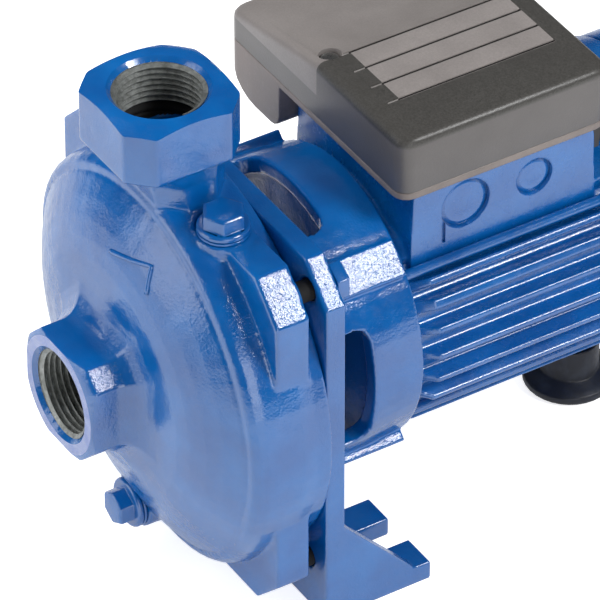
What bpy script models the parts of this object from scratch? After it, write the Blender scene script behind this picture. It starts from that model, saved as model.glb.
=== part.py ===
# Close-coupled centrifugal pump with a finned motor, a lantern bracket and a plastic terminal box.
# Metres. X is to the right seen from the suction port, Y runs along the shaft from the pump to
# the motor, Z is up. The origin is on the ground, under the shaft, in the middle of the
# bracket's flange plate.

import bpy
import bmesh
from math import acos, asin, atan2, cos, degrees, pi, radians, sin, sqrt
from mathutils import Matrix, Vector

# Clearances
CONTACT_GAP = 0.0003
BOLT_CLEARANCE = 0.0004
SHAFT_CLEARANCE = 0.0006

# Heights and places along the shaft, measured from the suction face
VOLUTE_TO_GROUND = 0.0035
SUCTION_TO_PLATE = 0.0660
DISCHARGE_FROM_SUCTION = 0.0435
DISCHARGE_ABOVE_VOLUTE = 0.0395

# Port bosses: a square bar with cut corners, a chamfered thread and a plain bore behind it
PORT_ACROSS_FLATS = 0.0470
PORT_CORNER_FLAT = 0.0120
PORT_THREAD_RADIUS = 0.0166
PORT_THREAD_LENGTH = 0.0180
PORT_BORE_RADIUS = 0.0145
PORT_CHAMFER = 0.0018
PORT_THREAD_RUNOUT = 0.0020
SUCTION_FACE_RADIUS = 0.0225
SUCTION_CROWN_SLOPE = 0.42
SUCTION_BORE_DEPTH = 0.0400
SUCTION_BOSS_LENGTH = 0.0145
SUCTION_BOSS_TO_RIGHT = 0.0235
SUCTION_BOSS_TO_TOP = 0.0218
SUCTION_BOSS_TO_LEFT = 0.0218
SUCTION_BOSS_TO_BOTTOM = 0.0215
SUCTION_CORNER_UPPER_RIGHT = 0.0271
SUCTION_CORNER_OTHERS = 0.0243
DISCHARGE_FACE_RADIUS = 0.0247
DISCHARGE_TOP_BEVEL = 0.0040
DISCHARGE_BOSS_LENGTH = 0.0230
DISCHARGE_BORE_DEPTH = 0.0220
DISCHARGE_PASSAGE_RADIUS = 0.0105
DISCHARGE_PASSAGE_FROM_SUCTION = 0.0485
DISCHARGE_PASSAGE_DEPTH = 0.0580

# Neck under the discharge boss
NECK_HALF_WIDTH = 0.0195
NECK_FRONT_FROM_SUCTION = 0.0330
NECK_REAR_FROM_SUCTION = 0.0630
NECK_LIP_WIDTH = 0.0020
NECK_LIP_INSET = 0.0040
NECK_LIP_HEIGHT = 0.0080
NECK_HEIGHT = 0.0180
NECK_FRONT_SLOPE = 0.0020
NECK_ROOT_WIDTH = 0.0065
NECK_ROOT_IN_VOLUTE = 0.0335

# Volute
VOLUTE_RADIUS = 0.0785
BULGE_HEIGHT = 0.0049
DOME_FOOT_FROM_SUCTION = 0.0330
DOME_RISE = 0.0130
DOME_CURVE = 1.8
BOSS_ROOT_RADIUS = 0.0400
ROOT_FILLET_DEPTH = 0.0050
ROOT_FILLET_START = 0.0010
GROOVE_WIDTH = 0.0016
GROOVE_DEPTH = 0.0014
BULGE_LAND = 0.0030
BULGE_LENGTH = 0.0081
FLARE_START = 0.0035
FLARE_INSET = 0.0004
RIM_STEP = 0.0010
FLANGE_IN_VOLUTE = 0.0065
FLANGE_CORNER_CUT = 0.0140
FLANGE_FRONT_FROM_SUCTION = 0.0460
FLANGE_THICKNESS = 0.0135
BOLT_BOSS_RADIUS = 0.0065

# The spiral: on the lower left the dome's foot and its groove lie further back along the shaft
SPIRAL_SETBACK = 0.0080
SPIRAL_ANGLE = 240.0
SPIRAL_SPREAD = 0.9
SPIRAL_SHARPNESS = 1.2
SPIRAL_START_RADIUS = 0.0360
SPIRAL_GROWTH = 0.4
SPIRAL_FADE_FROM_SUCTION = 0.0365

# Filling plug on top and drain plug below
FILL_BOSS_RADIUS = 0.0103
FILL_BOSS_X = 0.0310
FILL_BOSS_FROM_SUCTION = 0.0500
FILL_BOSS_TOP_IN_VOLUTE = 0.0055
FILL_BOSS_HEIGHT = 0.0240
DRAIN_BOSS_RADIUS = 0.0103
DRAIN_IN_VOLUTE = 0.0170
DRAIN_BOSS_FACE_FROM_SUCTION = 0.0305
PLUG_SPOT_FACE_RADIUS = 0.0106
PLUG_SPOT_FACE_STOCK = 0.0010
PLUG_SPOT_FACE_HEIGHT = 0.0120
PLUG_FLANGE_RADIUS = 0.0095
PLUG_FLANGE_THICKNESS = 0.0022
PLUG_RIM_CHAMFER = 0.0007
FILLING_HEX_ACROSS_FLATS = 0.0140
DRAIN_HEX_ACROSS_FLATS = 0.0120
PLUG_HEX_HEIGHT = 0.0058
PLUG_STEM_RADIUS = 0.0064
PLUG_STEM_LENGTH = 0.0090
PLUG_HOLE_RUNOUT = 0.0010
WASHER_THICKNESS = 0.0010

# Flange bolts
BOLT_FROM_FLANGE_EDGE = 0.0120
BOLT_RADIUS = 0.0040
BOLT_HEAD_ACROSS_FLATS = 0.0130
BOLT_HEAD_HEIGHT = 0.0053
BOLT_THREAD_DEPTH = 0.0150

# Lantern bracket
PLATE_THICKNESS = 0.0080
BRACKET_BORE_IN_BELL = 0.0130
BELL_OVER_FRAME = 0.0030
BELL_TAPER = 0.0015
BELL_WALL = 0.0065
BELL_LENGTH = 0.0435
BELL_STRAIGHT_LENGTH = 0.0240
BELL_CHAMBER_LENGTH = 0.0240
BELL_WEB_THICKNESS = 0.0080
WINDOW_HALF_ANGLE = 26.0
WINDOW_LENGTH = 0.0220
WINDOW_CORNER = 0.0050
WINDOW_CORNER_BREAK = 0.0015
WINDOW_DEPTH = 0.0165
POST_OVER_BELL = 0.0030
POST_HALF_WIDTH = 0.0070
POST_LENGTH = 0.0410
FOOT_WIDTH = 0.0415
FOOT_OVER_FLANGE = 0.0005
FOOT_REACH = 0.0365
FOOT_THICKNESS = 0.0077
SLOT_WIDTH = 0.0135
SLOT_FROM_FOOT_EDGE = 0.0212
SLOT_LENGTH = 0.0230
GUSSET_THICKNESS = 0.0056
GUSSET_HEIGHT = 0.0320
GUSSET_TO_TOE = 0.0070
LEG_FLARE_OVERLAP = 0.0100

# Seal plate, shaft and slinger inside the lantern
SEAL_PLATE_THICKNESS = 0.0050
SEAL_HOUSING_RADIUS = 0.0210
SEAL_HOUSING_LENGTH = 0.0100
SEAL_HOUSING_END_RADIUS = 0.0189
SHAFT_RADIUS = 0.0070
SHAFT_PAST_WEB = 0.0020
SLINGER_RADIUS = 0.0140
SLINGER_THICKNESS = 0.0030
SLINGER_TO_WEB = 0.0045

# Motor frame
FRAME_FIN_RADIUS = 0.0540
FIN_HEIGHT = 0.0065
FRAME_LENGTH = 0.1080
FIN_THICKNESS = 0.0024
FIN_ROOT_GROWTH = 1.5
WIDE_FIN_THICKNESS = 0.0035
FIN_END_SLOPE = 0.0070
SPIGOT_STEP = 0.0025
SPIGOT_LENGTH = 0.0060
UPPER_FIN_SHARES = (0.707, 0.504, 0.265)
WIDE_FIN_SHARE = 0.504
LOWER_FIN_ANGLES = (0.0, -12.0, -24.0, -50.0, -62.0, -74.0, -86.0)
FRAME_CROWN_ANGLE = 62.0
UPPER_TIE_SHARE = 0.828
LOWER_TIE_ANGLE = -37.5
TIE_BELOW_FIN_TIPS = 0.0028
TIE_RADIUS = 0.0020
TIE_THREAD_DEPTH = 0.0080
TIE_NUT_ACROSS_FLATS = 0.0070
TIE_NUT_HEIGHT = 0.0045
TIE_POCKET_RADIUS = 0.0060
TIE_POCKET_DEPTH = 0.0060

# Rear shield, fan and fan cover
SHIELD_OVER_FRAME = 0.0005
SHIELD_LENGTH = 0.0150
SHIELD_CHAMFER = 0.0015
SHIELD_RIM_LENGTH = 0.0120
SHIELD_STEP = 0.0020
COVER_IN_SHIELD = 0.0010
COVER_LENGTH = 0.0440
COVER_WALL = 0.0016
COVER_EDGE_RADIUS = 0.0070
COVER_SLOT_WIDTH = 0.0032
COVER_SLOT_COUNT = 16
COVER_SLOT_INNER_RADIUS = 0.0150
COVER_SLOT_IN_COVER = 0.0115
FAN_TO_COVER = 0.0075
FAN_HUB_RADIUS = 0.0120
FAN_DEPTH = 0.0180
FAN_FROM_SHIELD = 0.0100
FAN_BACK_THICKNESS = 0.0020
FAN_SLEEVE_RADIUS = 0.0070
FAN_BLADE_THICKNESS = 0.0020
FAN_BLADE_COUNT = 8

# Terminal box: cast base, plastic tray with a capacitor bowl, and lid
BOX_IN_FRAME = 0.0160
BOX_FRONT_INSET = 0.0047
BOX_REAR_INSET = 0.0253
BOX_OVER_FRAME = 0.0080
BOX_DRAFT = 0.0010
KNOCKOUT_BELOW_BOX_TOP = 0.0115
KNOCKOUT_LARGE_RADIUS = 0.0100
KNOCKOUT_SMALL_RADIUS = 0.0075
KNOCKOUT_LARGE_FROM_SUCTION = 0.1454
KNOCKOUT_SMALL_FROM_SUCTION = 0.1744
KNOCKOUT_DEPTH = 0.0012
KNOCKOUT_THICKNESS = 0.0007
TRAY_THICKNESS = 0.0030
LID_OVER_BOX_RIGHT = 0.0015
LID_OVER_BOX_LEFT = 0.0380
LID_FRONT_OVERHANG = 0.0053
LID_REAR_OVERHANG = 0.0047
LID_OVER_BOX = 0.0265
LID_EDGE_RADIUS = 0.0030
LID_CORNER_RADIUS = 0.0060
LID_FALL_START_X = -0.0160
LID_FALL = 0.19
BOWL_BELOW_BOX_TOP = 0.0187
BOWL_FROM_BOX = 0.0030
BOWL_CORNER_RADIUS = 0.0182
BOWL_INNER_CORNER_RADIUS = 0.0060
LID_SCREW_RADIUS = 0.0034
LID_SCREW_POCKET_RADIUS = 0.0043
LID_SCREW_POCKET_DEPTH = 0.0045
LID_SCREW_HEAD_HEIGHT = 0.0025
LID_SCREW_X = -0.0195
LID_SCREW_INSET = 0.0078
GLAND_FROM_BOX_SIDE = 0.0140
GLAND_BELOW_BOX_TOP = 0.0095
GLAND_RADIUS = 0.0074
GLAND_LENGTH = 0.0140
GLAND_HEX_ACROSS_FLATS = 0.0160
GLAND_HEX_HEIGHT = 0.0060
GLAND_CAP_LENGTH = 0.0105
GLAND_MOUTH_RADIUS = 0.0056
GLAND_HOLE_START = 0.0050
GLAND_HOLE_RADIUS = 0.0040

# Rear foot under the motor
REAR_FOOT_INSET = 0.0104
REAR_FOOT_X = 0.0045
REAR_FOOT_RADIUS = 0.0175
REAR_FOOT_FLANGE_HEIGHT = 0.0055
REAR_FOOT_NECK_RADIUS = 0.0110
REAR_FOOT_SHARE = 0.58
REAR_FOOT_LUG_HALF_WIDTH = 0.0100
REAR_FOOT_LUG_SINK = 0.0025
REAR_FOOT_ROUNDING = 0.0015
REAR_FOOT_SHOULDER = 0.0030

# Sizes and places worked out from the sizes above
SHAFT_HEIGHT = VOLUTE_RADIUS + VOLUTE_TO_GROUND
FLANGE_HALF_WIDTH = VOLUTE_RADIUS - FLANGE_IN_VOLUTE
BOLT_OFFSET = FLANGE_HALF_WIDTH - BOLT_FROM_FLANGE_EDGE
FOOT_HALF_WIDTH = FLANGE_HALF_WIDTH + FOOT_OVER_FLANGE
FOOT_INNER_X = FOOT_HALF_WIDTH - FOOT_WIDTH
SLOT_CENTRE_X = FOOT_HALF_WIDTH - SLOT_FROM_FOOT_EDGE
FRAME_ROOT_RADIUS = FRAME_FIN_RADIUS - FIN_HEIGHT
SPIGOT_RADIUS = FRAME_ROOT_RADIUS - SPIGOT_STEP
TIE_DISTANCE = FRAME_FIN_RADIUS - TIE_BELOW_FIN_TIPS
BOX_HALF_WIDTH = FRAME_FIN_RADIUS - BOX_IN_FRAME
GLAND_X = BOX_HALF_WIDTH - GLAND_FROM_BOX_SIDE
BOX_EDGE_ANGLE = degrees(acos(BOX_HALF_WIDTH / FRAME_FIN_RADIUS))
WIDE_FIN_ANGLE = BOX_EDGE_ANGLE * WIDE_FIN_SHARE
FIN_ANGLES = tuple(BOX_EDGE_ANGLE * share for share in UPPER_FIN_SHARES) + LOWER_FIN_ANGLES
BELL_RADIUS = FRAME_FIN_RADIUS + BELL_OVER_FRAME
BELL_REAR_RADIUS = BELL_RADIUS - BELL_TAPER
BRACKET_BORE_RADIUS = BELL_RADIUS - BRACKET_BORE_IN_BELL
WINDOW_INNER_RADIUS = BELL_RADIUS - WINDOW_DEPTH
POST_DISTANCE = BELL_RADIUS + POST_OVER_BELL
SHIELD_RADIUS = FRAME_FIN_RADIUS + SHIELD_OVER_FRAME
COVER_RADIUS = SHIELD_RADIUS - COVER_IN_SHIELD
COVER_SLOT_OUTER_RADIUS = COVER_RADIUS - COVER_SLOT_IN_COVER
FAN_RADIUS = COVER_RADIUS - FAN_TO_COVER
SUCTION_Y = -(SUCTION_TO_PLATE + PLATE_THICKNESS / 2)
PLATE_FRONT_Y = -PLATE_THICKNESS / 2
PLATE_REAR_Y = PLATE_THICKNESS / 2
DISCHARGE_Y = SUCTION_Y + DISCHARGE_FROM_SUCTION
DISCHARGE_FACE_Z = SHAFT_HEIGHT + VOLUTE_RADIUS + DISCHARGE_ABOVE_VOLUTE
DISCHARGE_BOSS_LOW_Z = DISCHARGE_FACE_Z - DISCHARGE_BOSS_LENGTH
FLANGE_FRONT_Y = SUCTION_Y + FLANGE_FRONT_FROM_SUCTION
FLANGE_REAR_Y = FLANGE_FRONT_Y + FLANGE_THICKNESS
CASING_REAR_Y = PLATE_FRONT_Y - CONTACT_GAP
BELL_REAR_Y = PLATE_REAR_Y + BELL_LENGTH
WEB_FRONT_Y = PLATE_REAR_Y + BELL_CHAMBER_LENGTH
WEB_REAR_Y = WEB_FRONT_Y + BELL_WEB_THICKNESS
FRAME_FRONT_Y = BELL_REAR_Y + CONTACT_GAP
FRAME_REAR_Y = FRAME_FRONT_Y + FRAME_LENGTH
SHIELD_FRONT_Y = FRAME_REAR_Y + CONTACT_GAP
SHIELD_REAR_Y = SHIELD_FRONT_Y + SHIELD_LENGTH
TIE_SEAT_Y = SHIELD_REAR_Y - TIE_POCKET_DEPTH
COVER_FRONT_Y = SHIELD_REAR_Y + CONTACT_GAP
COVER_REAR_Y = COVER_FRONT_Y + COVER_LENGTH
BOX_FRONT_Y = FRAME_FRONT_Y + BOX_FRONT_INSET
BOX_REAR_Y = FRAME_REAR_Y - BOX_REAR_INSET
BOX_TOP_Z = SHAFT_HEIGHT + FRAME_FIN_RADIUS + BOX_OVER_FRAME
TRAY_BOTTOM_Z = BOX_TOP_Z + CONTACT_GAP
TRAY_TOP_Z = TRAY_BOTTOM_Z + TRAY_THICKNESS
LID_BOTTOM_Z = TRAY_TOP_Z + CONTACT_GAP
LID_TOP_Z = BOX_TOP_Z + LID_OVER_BOX
LID_FRONT_Y = BOX_FRONT_Y - LID_FRONT_OVERHANG
LID_REAR_Y = BOX_REAR_Y + LID_REAR_OVERHANG
LID_RIGHT_X = BOX_HALF_WIDTH + LID_OVER_BOX_RIGHT
LID_LEFT_X = -BOX_HALF_WIDTH - LID_OVER_BOX_LEFT
BOWL_RIGHT_X = -BOX_HALF_WIDTH - BOWL_FROM_BOX
FILL_Y = SUCTION_Y + FILL_BOSS_FROM_SUCTION
FILL_BOSS_TOP_Z = SHAFT_HEIGHT + VOLUTE_RADIUS - FILL_BOSS_TOP_IN_VOLUTE
DRAIN_Z = SHAFT_HEIGHT - VOLUTE_RADIUS + DRAIN_IN_VOLUTE
DRAIN_FACE_Y = SUCTION_Y + DRAIN_BOSS_FACE_FROM_SUCTION
FRONT_DISC_RADIUS = VOLUTE_RADIUS - BULGE_HEIGHT - GROOVE_WIDTH
RIM_RADIUS = VOLUTE_RADIUS - RIM_STEP
REAR_FOOT_Y = FRAME_REAR_Y - REAR_FOOT_INSET
REAR_FOOT_TOP_Z = (SHAFT_HEIGHT - FRAME_ROOT_RADIUS) * REAR_FOOT_SHARE

SHAFT_POINT = Vector((0.0, 0.0, SHAFT_HEIGHT))
HEX_CHAMFER_SHARE = 0.06
HEX_CHAMFER_SLOPE = 2.4
ROUND_SEGMENTS = 64
SMALL_SEGMENTS = 24
CORNERS = ((1, 1), (-1, 1), (-1, -1), (1, -1))

BLUE_ENAMEL = (0.010, 0.085, 0.330)
LID_PLASTIC = (0.085, 0.078, 0.076)
RUBBER_BLACK = (0.012, 0.013, 0.018)
ZINC_STEEL = (0.55, 0.56, 0.58)
PALE_STEEL = (0.62, 0.62, 0.62)
FAN_PLASTIC = (0.030, 0.030, 0.032)


def clear_scene():
    for item in list(bpy.data.objects):
        bpy.data.objects.remove(item, do_unlink=True)


def finish_material(name, colour, roughness, metallic):
    material = bpy.data.materials.new(name)
    material.use_nodes = True
    shader = material.node_tree.nodes["Principled BSDF"]
    shader.inputs["Base Color"].default_value = (*colour, 1.0)
    shader.inputs["Roughness"].default_value = roughness
    shader.inputs["Metallic"].default_value = metallic
    return material


def place(name, shape, colour, roughness=0.4, metallic=0.0, smooth_angle=30.0):
    """Turn a bmesh into a named object with its own material."""
    bmesh.ops.recalc_face_normals(shape, faces=shape.faces)
    mesh = bpy.data.meshes.new(name)
    shape.to_mesh(mesh)
    shape.free()
    mesh.shade_smooth()
    mesh.set_sharp_from_angle(angle=radians(smooth_angle))
    mesh.materials.append(finish_material(name + "_finish", colour, roughness, metallic))
    item = bpy.data.objects.new(name, mesh)
    bpy.context.scene.collection.objects.link(item)
    return item


def prism(outline, low, high, axis="Y"):
    """A bar with the given outline, from low to high along one axis."""
    shape = bmesh.new()
    turn = {
        "X": lambda u, v: Vector((low, u, v)),
        "Y": lambda u, v: Vector((u, low, v)),
        "Z": lambda u, v: Vector((u, v, low)),
    }[axis]
    step = Vector({"X": (1, 0, 0), "Y": (0, 1, 0), "Z": (0, 0, 1)}[axis]) * (high - low)
    corners = [shape.verts.new(turn(u, v)) for u, v in outline]
    base = shape.faces.new(corners)
    raised = bmesh.ops.extrude_face_region(shape, geom=[base])
    moved = [part for part in raised["geom"] if isinstance(part, bmesh.types.BMVert)]
    bmesh.ops.translate(shape, verts=moved, vec=step)
    return shape


def block(low, high):
    """A plain box between two corners."""
    outline = [(low[0], low[2]), (high[0], low[2]), (high[0], high[2]), (low[0], high[2])]
    return prism(outline, low[1], high[1], "Y")


def turned(profile, place_at, axis, segments=ROUND_SEGMENTS):
    """A turned solid: profile holds (radius, distance along the axis), ends included."""
    shape = bmesh.new()
    points = [shape.verts.new((radius, 0.0, along)) for radius, along in profile]
    edges = [shape.edges.new(pair) for pair in zip(points, points[1:])]
    if profile[0][0] > 0.0 and profile[-1][0] > 0.0:
        edges.append(shape.edges.new((points[-1], points[0])))
    bmesh.ops.spin(shape, geom=points + edges, cent=(0, 0, 0), axis=(0, 0, 1), angle=2 * pi,
                   steps=segments, use_merge=True, use_duplicate=False)
    bmesh.ops.remove_doubles(shape, verts=shape.verts, dist=1e-6)
    direction = Vector({"X": (1, 0, 0), "Y": (0, 1, 0), "-Y": (0, -1, 0), "Z": (0, 0, 1)}[axis])
    turn = Vector((0, 0, 1)).rotation_difference(direction).to_matrix().to_4x4()
    bmesh.ops.transform(shape, matrix=Matrix.Translation(place_at) @ turn, verts=shape.verts)
    return shape


def cylinder(radius, low, high, place_at, axis, segments=SMALL_SEGMENTS):
    return turned([(0.0, low), (radius, low), (radius, high), (0.0, high)], place_at, axis, segments)


def tube(outer, inner, low, high, place_at, axis, segments=SMALL_SEGMENTS):
    return turned([(inner, low), (outer, low), (outer, high), (inner, high)], place_at, axis, segments)


def combine(operation, shape, other):
    """Unite, cut or intersect two closed bmeshes and return the result as a new bmesh."""
    items = []
    for part in (shape, other):
        bmesh.ops.recalc_face_normals(part, faces=part.faces)
        mesh = bpy.data.meshes.new("operand")
        part.to_mesh(mesh)
        part.free()
        item = bpy.data.objects.new("operand", mesh)
        bpy.context.scene.collection.objects.link(item)
        items.append(item)
    base, tool = items
    step = base.modifiers.new("step", "BOOLEAN")
    step.operation = operation
    step.solver = "EXACT"
    step.object = tool
    depsgraph = bpy.context.evaluated_depsgraph_get()
    result = bmesh.new()
    result.from_object(base, depsgraph)
    for item in items:
        mesh = item.data
        bpy.data.objects.remove(item, do_unlink=True)
        bpy.data.meshes.remove(mesh)
    return result


def gather(shapes):
    """Put shapes that don't touch each other into one bmesh, to unite or cut with in one step."""
    result = bmesh.new()
    for shape in shapes:
        mesh = bpy.data.meshes.new("gathered")
        shape.to_mesh(mesh)
        shape.free()
        result.from_mesh(mesh)
        bpy.data.meshes.remove(mesh)
    return result


def unite(shape, *others):
    for other in others:
        shape = combine("UNION", shape, other)
    return shape


def cut(shape, *others):
    for other in others:
        shape = combine("DIFFERENCE", shape, other)
    return shape


def hexagon(across_flats):
    corner = across_flats / 2 / cos(pi / 6)
    return [(corner * cos(pi / 6 + pi / 3 * i), corner * sin(pi / 6 + pi / 3 * i)) for i in range(6)]


def shifted(outline, u, v):
    return [(a + u, b + v) for a, b in outline]


def skin(rings):
    """A solid stretched over rings of points, each ring with the same number of points."""
    shape = bmesh.new()
    loops = [[shape.verts.new(point) for point in ring] for ring in rings]
    for near, far in zip(loops, loops[1:]):
        for i in range(len(near)):
            j = (i + 1) % len(near)
            shape.faces.new((near[i], near[j], far[j], far[i]))
    shape.faces.new(loops[0])
    shape.faces.new(loops[-1])
    return shape


def hex_bar(across_flats, low, high, place_at, axis):
    """A hexagonal bar, chamfered at its outer end."""
    chamfer = across_flats * HEX_CHAMFER_SHARE
    end_scale = 1.0 - HEX_CHAMFER_SLOPE * HEX_CHAMFER_SHARE
    rings = [[(u * scale, v * scale, height) for u, v in hexagon(across_flats)]
             for scale, height in ((1.0, low), (1.0, high - chamfer), (end_scale, high))]
    shape = skin(rings)
    direction = Vector({"X": (1, 0, 0), "Y": (0, 1, 0), "-Y": (0, -1, 0), "Z": (0, 0, 1)}[axis])
    turn = Vector((0, 0, 1)).rotation_difference(direction).to_matrix().to_4x4()
    bmesh.ops.transform(shape, matrix=Matrix.Translation(place_at) @ turn, verts=shape.verts)
    return shape


def cut_corner_box(half_u, low_v, high_v, corner_flat):
    """A rectangle's outline with its corners cut off at 45 degrees by a flat of the given length."""
    leg = corner_flat / sqrt(2)
    return [(half_u, low_v + leg), (half_u, high_v - leg), (half_u - leg, high_v), (leg - half_u, high_v),
            (-half_u, high_v - leg), (-half_u, low_v + leg), (leg - half_u, low_v), (half_u - leg, low_v)]


def cut_corner_square(half_width, corner_flat):
    return cut_corner_box(half_width, -half_width, half_width, corner_flat)


def around_shaft(shape, turn_degrees):
    """Turn a shape that was made above the world's Y axis about that axis, and lift it to the shaft."""
    turn = Matrix.Translation(SHAFT_POINT) @ Matrix.Rotation(radians(turn_degrees), 4, "Y")
    bmesh.ops.transform(shape, matrix=turn, verts=shape.verts)
    return shape


def on_shaft(y):
    return Vector((0.0, y, SHAFT_HEIGHT))


def volute_profile():
    """Radius and distance from the suction face, from the middle of the front to the rear face."""
    front = DOME_FOOT_FROM_SUCTION - DOME_RISE
    reach = FRONT_DISC_RADIUS - BOSS_ROOT_RADIUS
    inner = PORT_ACROSS_FLATS / 2 + ROOT_FILLET_START
    points = [(0.0, front - ROOT_FILLET_DEPTH), (inner, front - ROOT_FILLET_DEPTH)]
    for step in range(1, 4):
        angle = pi / 2 * step / 4
        points.append((BOSS_ROOT_RADIUS - (BOSS_ROOT_RADIUS - inner) * cos(angle),
                       front - ROOT_FILLET_DEPTH * (1 - sin(angle))))
    for step in range(6):
        share = step / 5
        points.append((BOSS_ROOT_RADIUS + reach * share, front + DOME_RISE * share ** DOME_CURVE))
    points.append((FRONT_DISC_RADIUS + GROOVE_WIDTH / 4, DOME_FOOT_FROM_SUCTION + GROOVE_DEPTH))
    start = DOME_FOOT_FROM_SUCTION + GROOVE_DEPTH / 2
    depth = FLANGE_FRONT_FROM_SUCTION - start - BULGE_LAND
    for step in range(5):
        angle = pi / 2 * step / 4
        points.append((FRONT_DISC_RADIUS + GROOVE_WIDTH + BULGE_HEIGHT * sin(angle),
                       start + depth * (1 - cos(angle))))
    points.append((VOLUTE_RADIUS, FLANGE_FRONT_FROM_SUCTION + BULGE_LENGTH))
    points.append((RIM_RADIUS, FLANGE_FRONT_FROM_SUCTION + FLANGE_THICKNESS))
    points.append((RIM_RADIUS, CASING_REAR_Y - SUCTION_Y))
    points.append((0.0, CASING_REAR_Y - SUCTION_Y))
    return points


def set_back_spiral(shape):
    """Carry the dome's foot and the groove round it back along the shaft where the spiral widens."""
    for vert in shape.verts:
        across, up = vert.co.x, vert.co.z - SHAFT_HEIGHT
        turn = (atan2(up, across) - radians(SPIRAL_ANGLE) + pi) % (2 * pi) - pi
        round_share = max(0.0, cos(SPIRAL_SPREAD * turn)) ** SPIRAL_SHARPNESS
        reach = sqrt(across ** 2 + up ** 2) - SPIRAL_START_RADIUS
        out_share = min(1.0, max(0.0, reach / (FRONT_DISC_RADIUS - SPIRAL_START_RADIUS))) ** SPIRAL_GROWTH
        ahead = FLANGE_FRONT_Y - vert.co.y
        fade = min(1.0, max(0.0, ahead / (FLANGE_FRONT_FROM_SUCTION - SPIRAL_FADE_FROM_SUCTION)))
        vert.co.y += SPIRAL_SETBACK * round_share * out_share * fade


def eight_sided(distances):
    """An outline with eight sides that face every 45 degrees, each at its own distance from the middle."""
    outline = []
    for i, near in enumerate(distances):
        far = distances[(i + 1) % 8]
        angle = pi / 4 * i
        after = angle + pi / 4
        outline.append(((near * sin(after) - far * sin(angle)) / sin(pi / 4),
                        (far * cos(angle) - near * cos(after)) / sin(pi / 4)))
    return outline


def suction_outline(grow):
    """The suction boss across the shaft, anticlockwise from its right side, widened by grow."""
    corner = SUCTION_CORNER_OTHERS
    sides = (SUCTION_BOSS_TO_RIGHT, SUCTION_CORNER_UPPER_RIGHT, SUCTION_BOSS_TO_TOP, corner,
             SUCTION_BOSS_TO_LEFT, corner, SUCTION_BOSS_TO_BOTTOM, corner)
    return shifted(eight_sided([side + grow for side in sides]), 0.0, SHAFT_HEIGHT)


def suction_boss():
    length = DOME_FOOT_FROM_SUCTION
    shape = prism(suction_outline(0.0), SUCTION_Y, SUCTION_Y + length, "Y")
    corner = SUCTION_BOSS_TO_RIGHT * sqrt(2)
    crown = turned([(0.0, 0.0), (SUCTION_FACE_RADIUS, 0.0),
                    (corner, (corner - SUCTION_FACE_RADIUS) * SUCTION_CROWN_SLOPE),
                    (corner, length * 1.5), (0.0, length * 1.5)], on_shaft(SUCTION_Y), "Y")
    return combine("INTERSECT", shape, crown)


def boss_flare():
    """The sloping foot of the suction boss, keeping its flats as it widens into the dome."""
    rings = []
    steps = 5
    reach = BOSS_ROOT_RADIUS - FLARE_INSET - SUCTION_BOSS_TO_RIGHT
    rise = DOME_FOOT_FROM_SUCTION - DOME_RISE - SUCTION_BOSS_LENGTH + FLARE_START + FLARE_INSET
    for step in range(steps + 1):
        angle = pi / 2 * step / steps
        along = SUCTION_Y + SUCTION_BOSS_LENGTH - FLARE_START + rise * sin(angle)
        rings.append([(u, along, v) for u, v in suction_outline(reach * (1 - cos(angle)))])
    rings.append([(u, SUCTION_Y + DOME_FOOT_FROM_SUCTION, v) for u, v in suction_outline(reach)])
    flare = skin(rings)
    set_back_spiral(flare)
    return flare


def port_mouth(depth):
    """Profile of a threaded mouth and the plain bore behind it, from the face into the casting."""
    over = PORT_CHAMFER / 2
    mouth = PORT_THREAD_RADIUS + PORT_CHAMFER + over
    bore_start = PORT_THREAD_LENGTH + PORT_THREAD_RUNOUT
    return [(0.0, -over), (mouth, -over), (PORT_THREAD_RADIUS, PORT_CHAMFER),
            (PORT_THREAD_RADIUS, PORT_THREAD_LENGTH), (PORT_BORE_RADIUS, bore_start),
            (PORT_BORE_RADIUS, depth), (0.0, depth)]


def discharge_bore():
    """The threaded mouth on top and the narrower passage that runs down into the volute."""
    profile = [(radius, -depth) for radius, depth in reversed(port_mouth(DISCHARGE_BORE_DEPTH))]
    mouth = turned(profile, (0.0, DISCHARGE_Y, DISCHARGE_FACE_Z), "Z", 48)
    passage = cylinder(DISCHARGE_PASSAGE_RADIUS, DISCHARGE_FACE_Z - DISCHARGE_PASSAGE_DEPTH,
                       DISCHARGE_FACE_Z - PORT_THREAD_LENGTH - PORT_THREAD_RUNOUT,
                       (0.0, SUCTION_Y + DISCHARGE_PASSAGE_FROM_SUCTION, 0.0), "Z", 32)
    return unite(mouth, passage)


def discharge_boss():
    half = PORT_ACROSS_FLATS / 2
    outline = shifted(cut_corner_square(half, PORT_CORNER_FLAT), 0.0, DISCHARGE_Y)
    shape = prism(outline, DISCHARGE_BOSS_LOW_Z, DISCHARGE_FACE_Z, "Z")
    corner = half * sqrt(2)
    low = DISCHARGE_BOSS_LOW_Z - corner
    crown = turned([(0.0, low), (corner, low), (corner, DISCHARGE_FACE_Z - DISCHARGE_TOP_BEVEL),
                    (DISCHARGE_FACE_RADIUS, DISCHARGE_FACE_Z), (0.0, DISCHARGE_FACE_Z)],
                   (0.0, DISCHARGE_Y, 0.0), "Z")
    return combine("INTERSECT", shape, crown)


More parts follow.
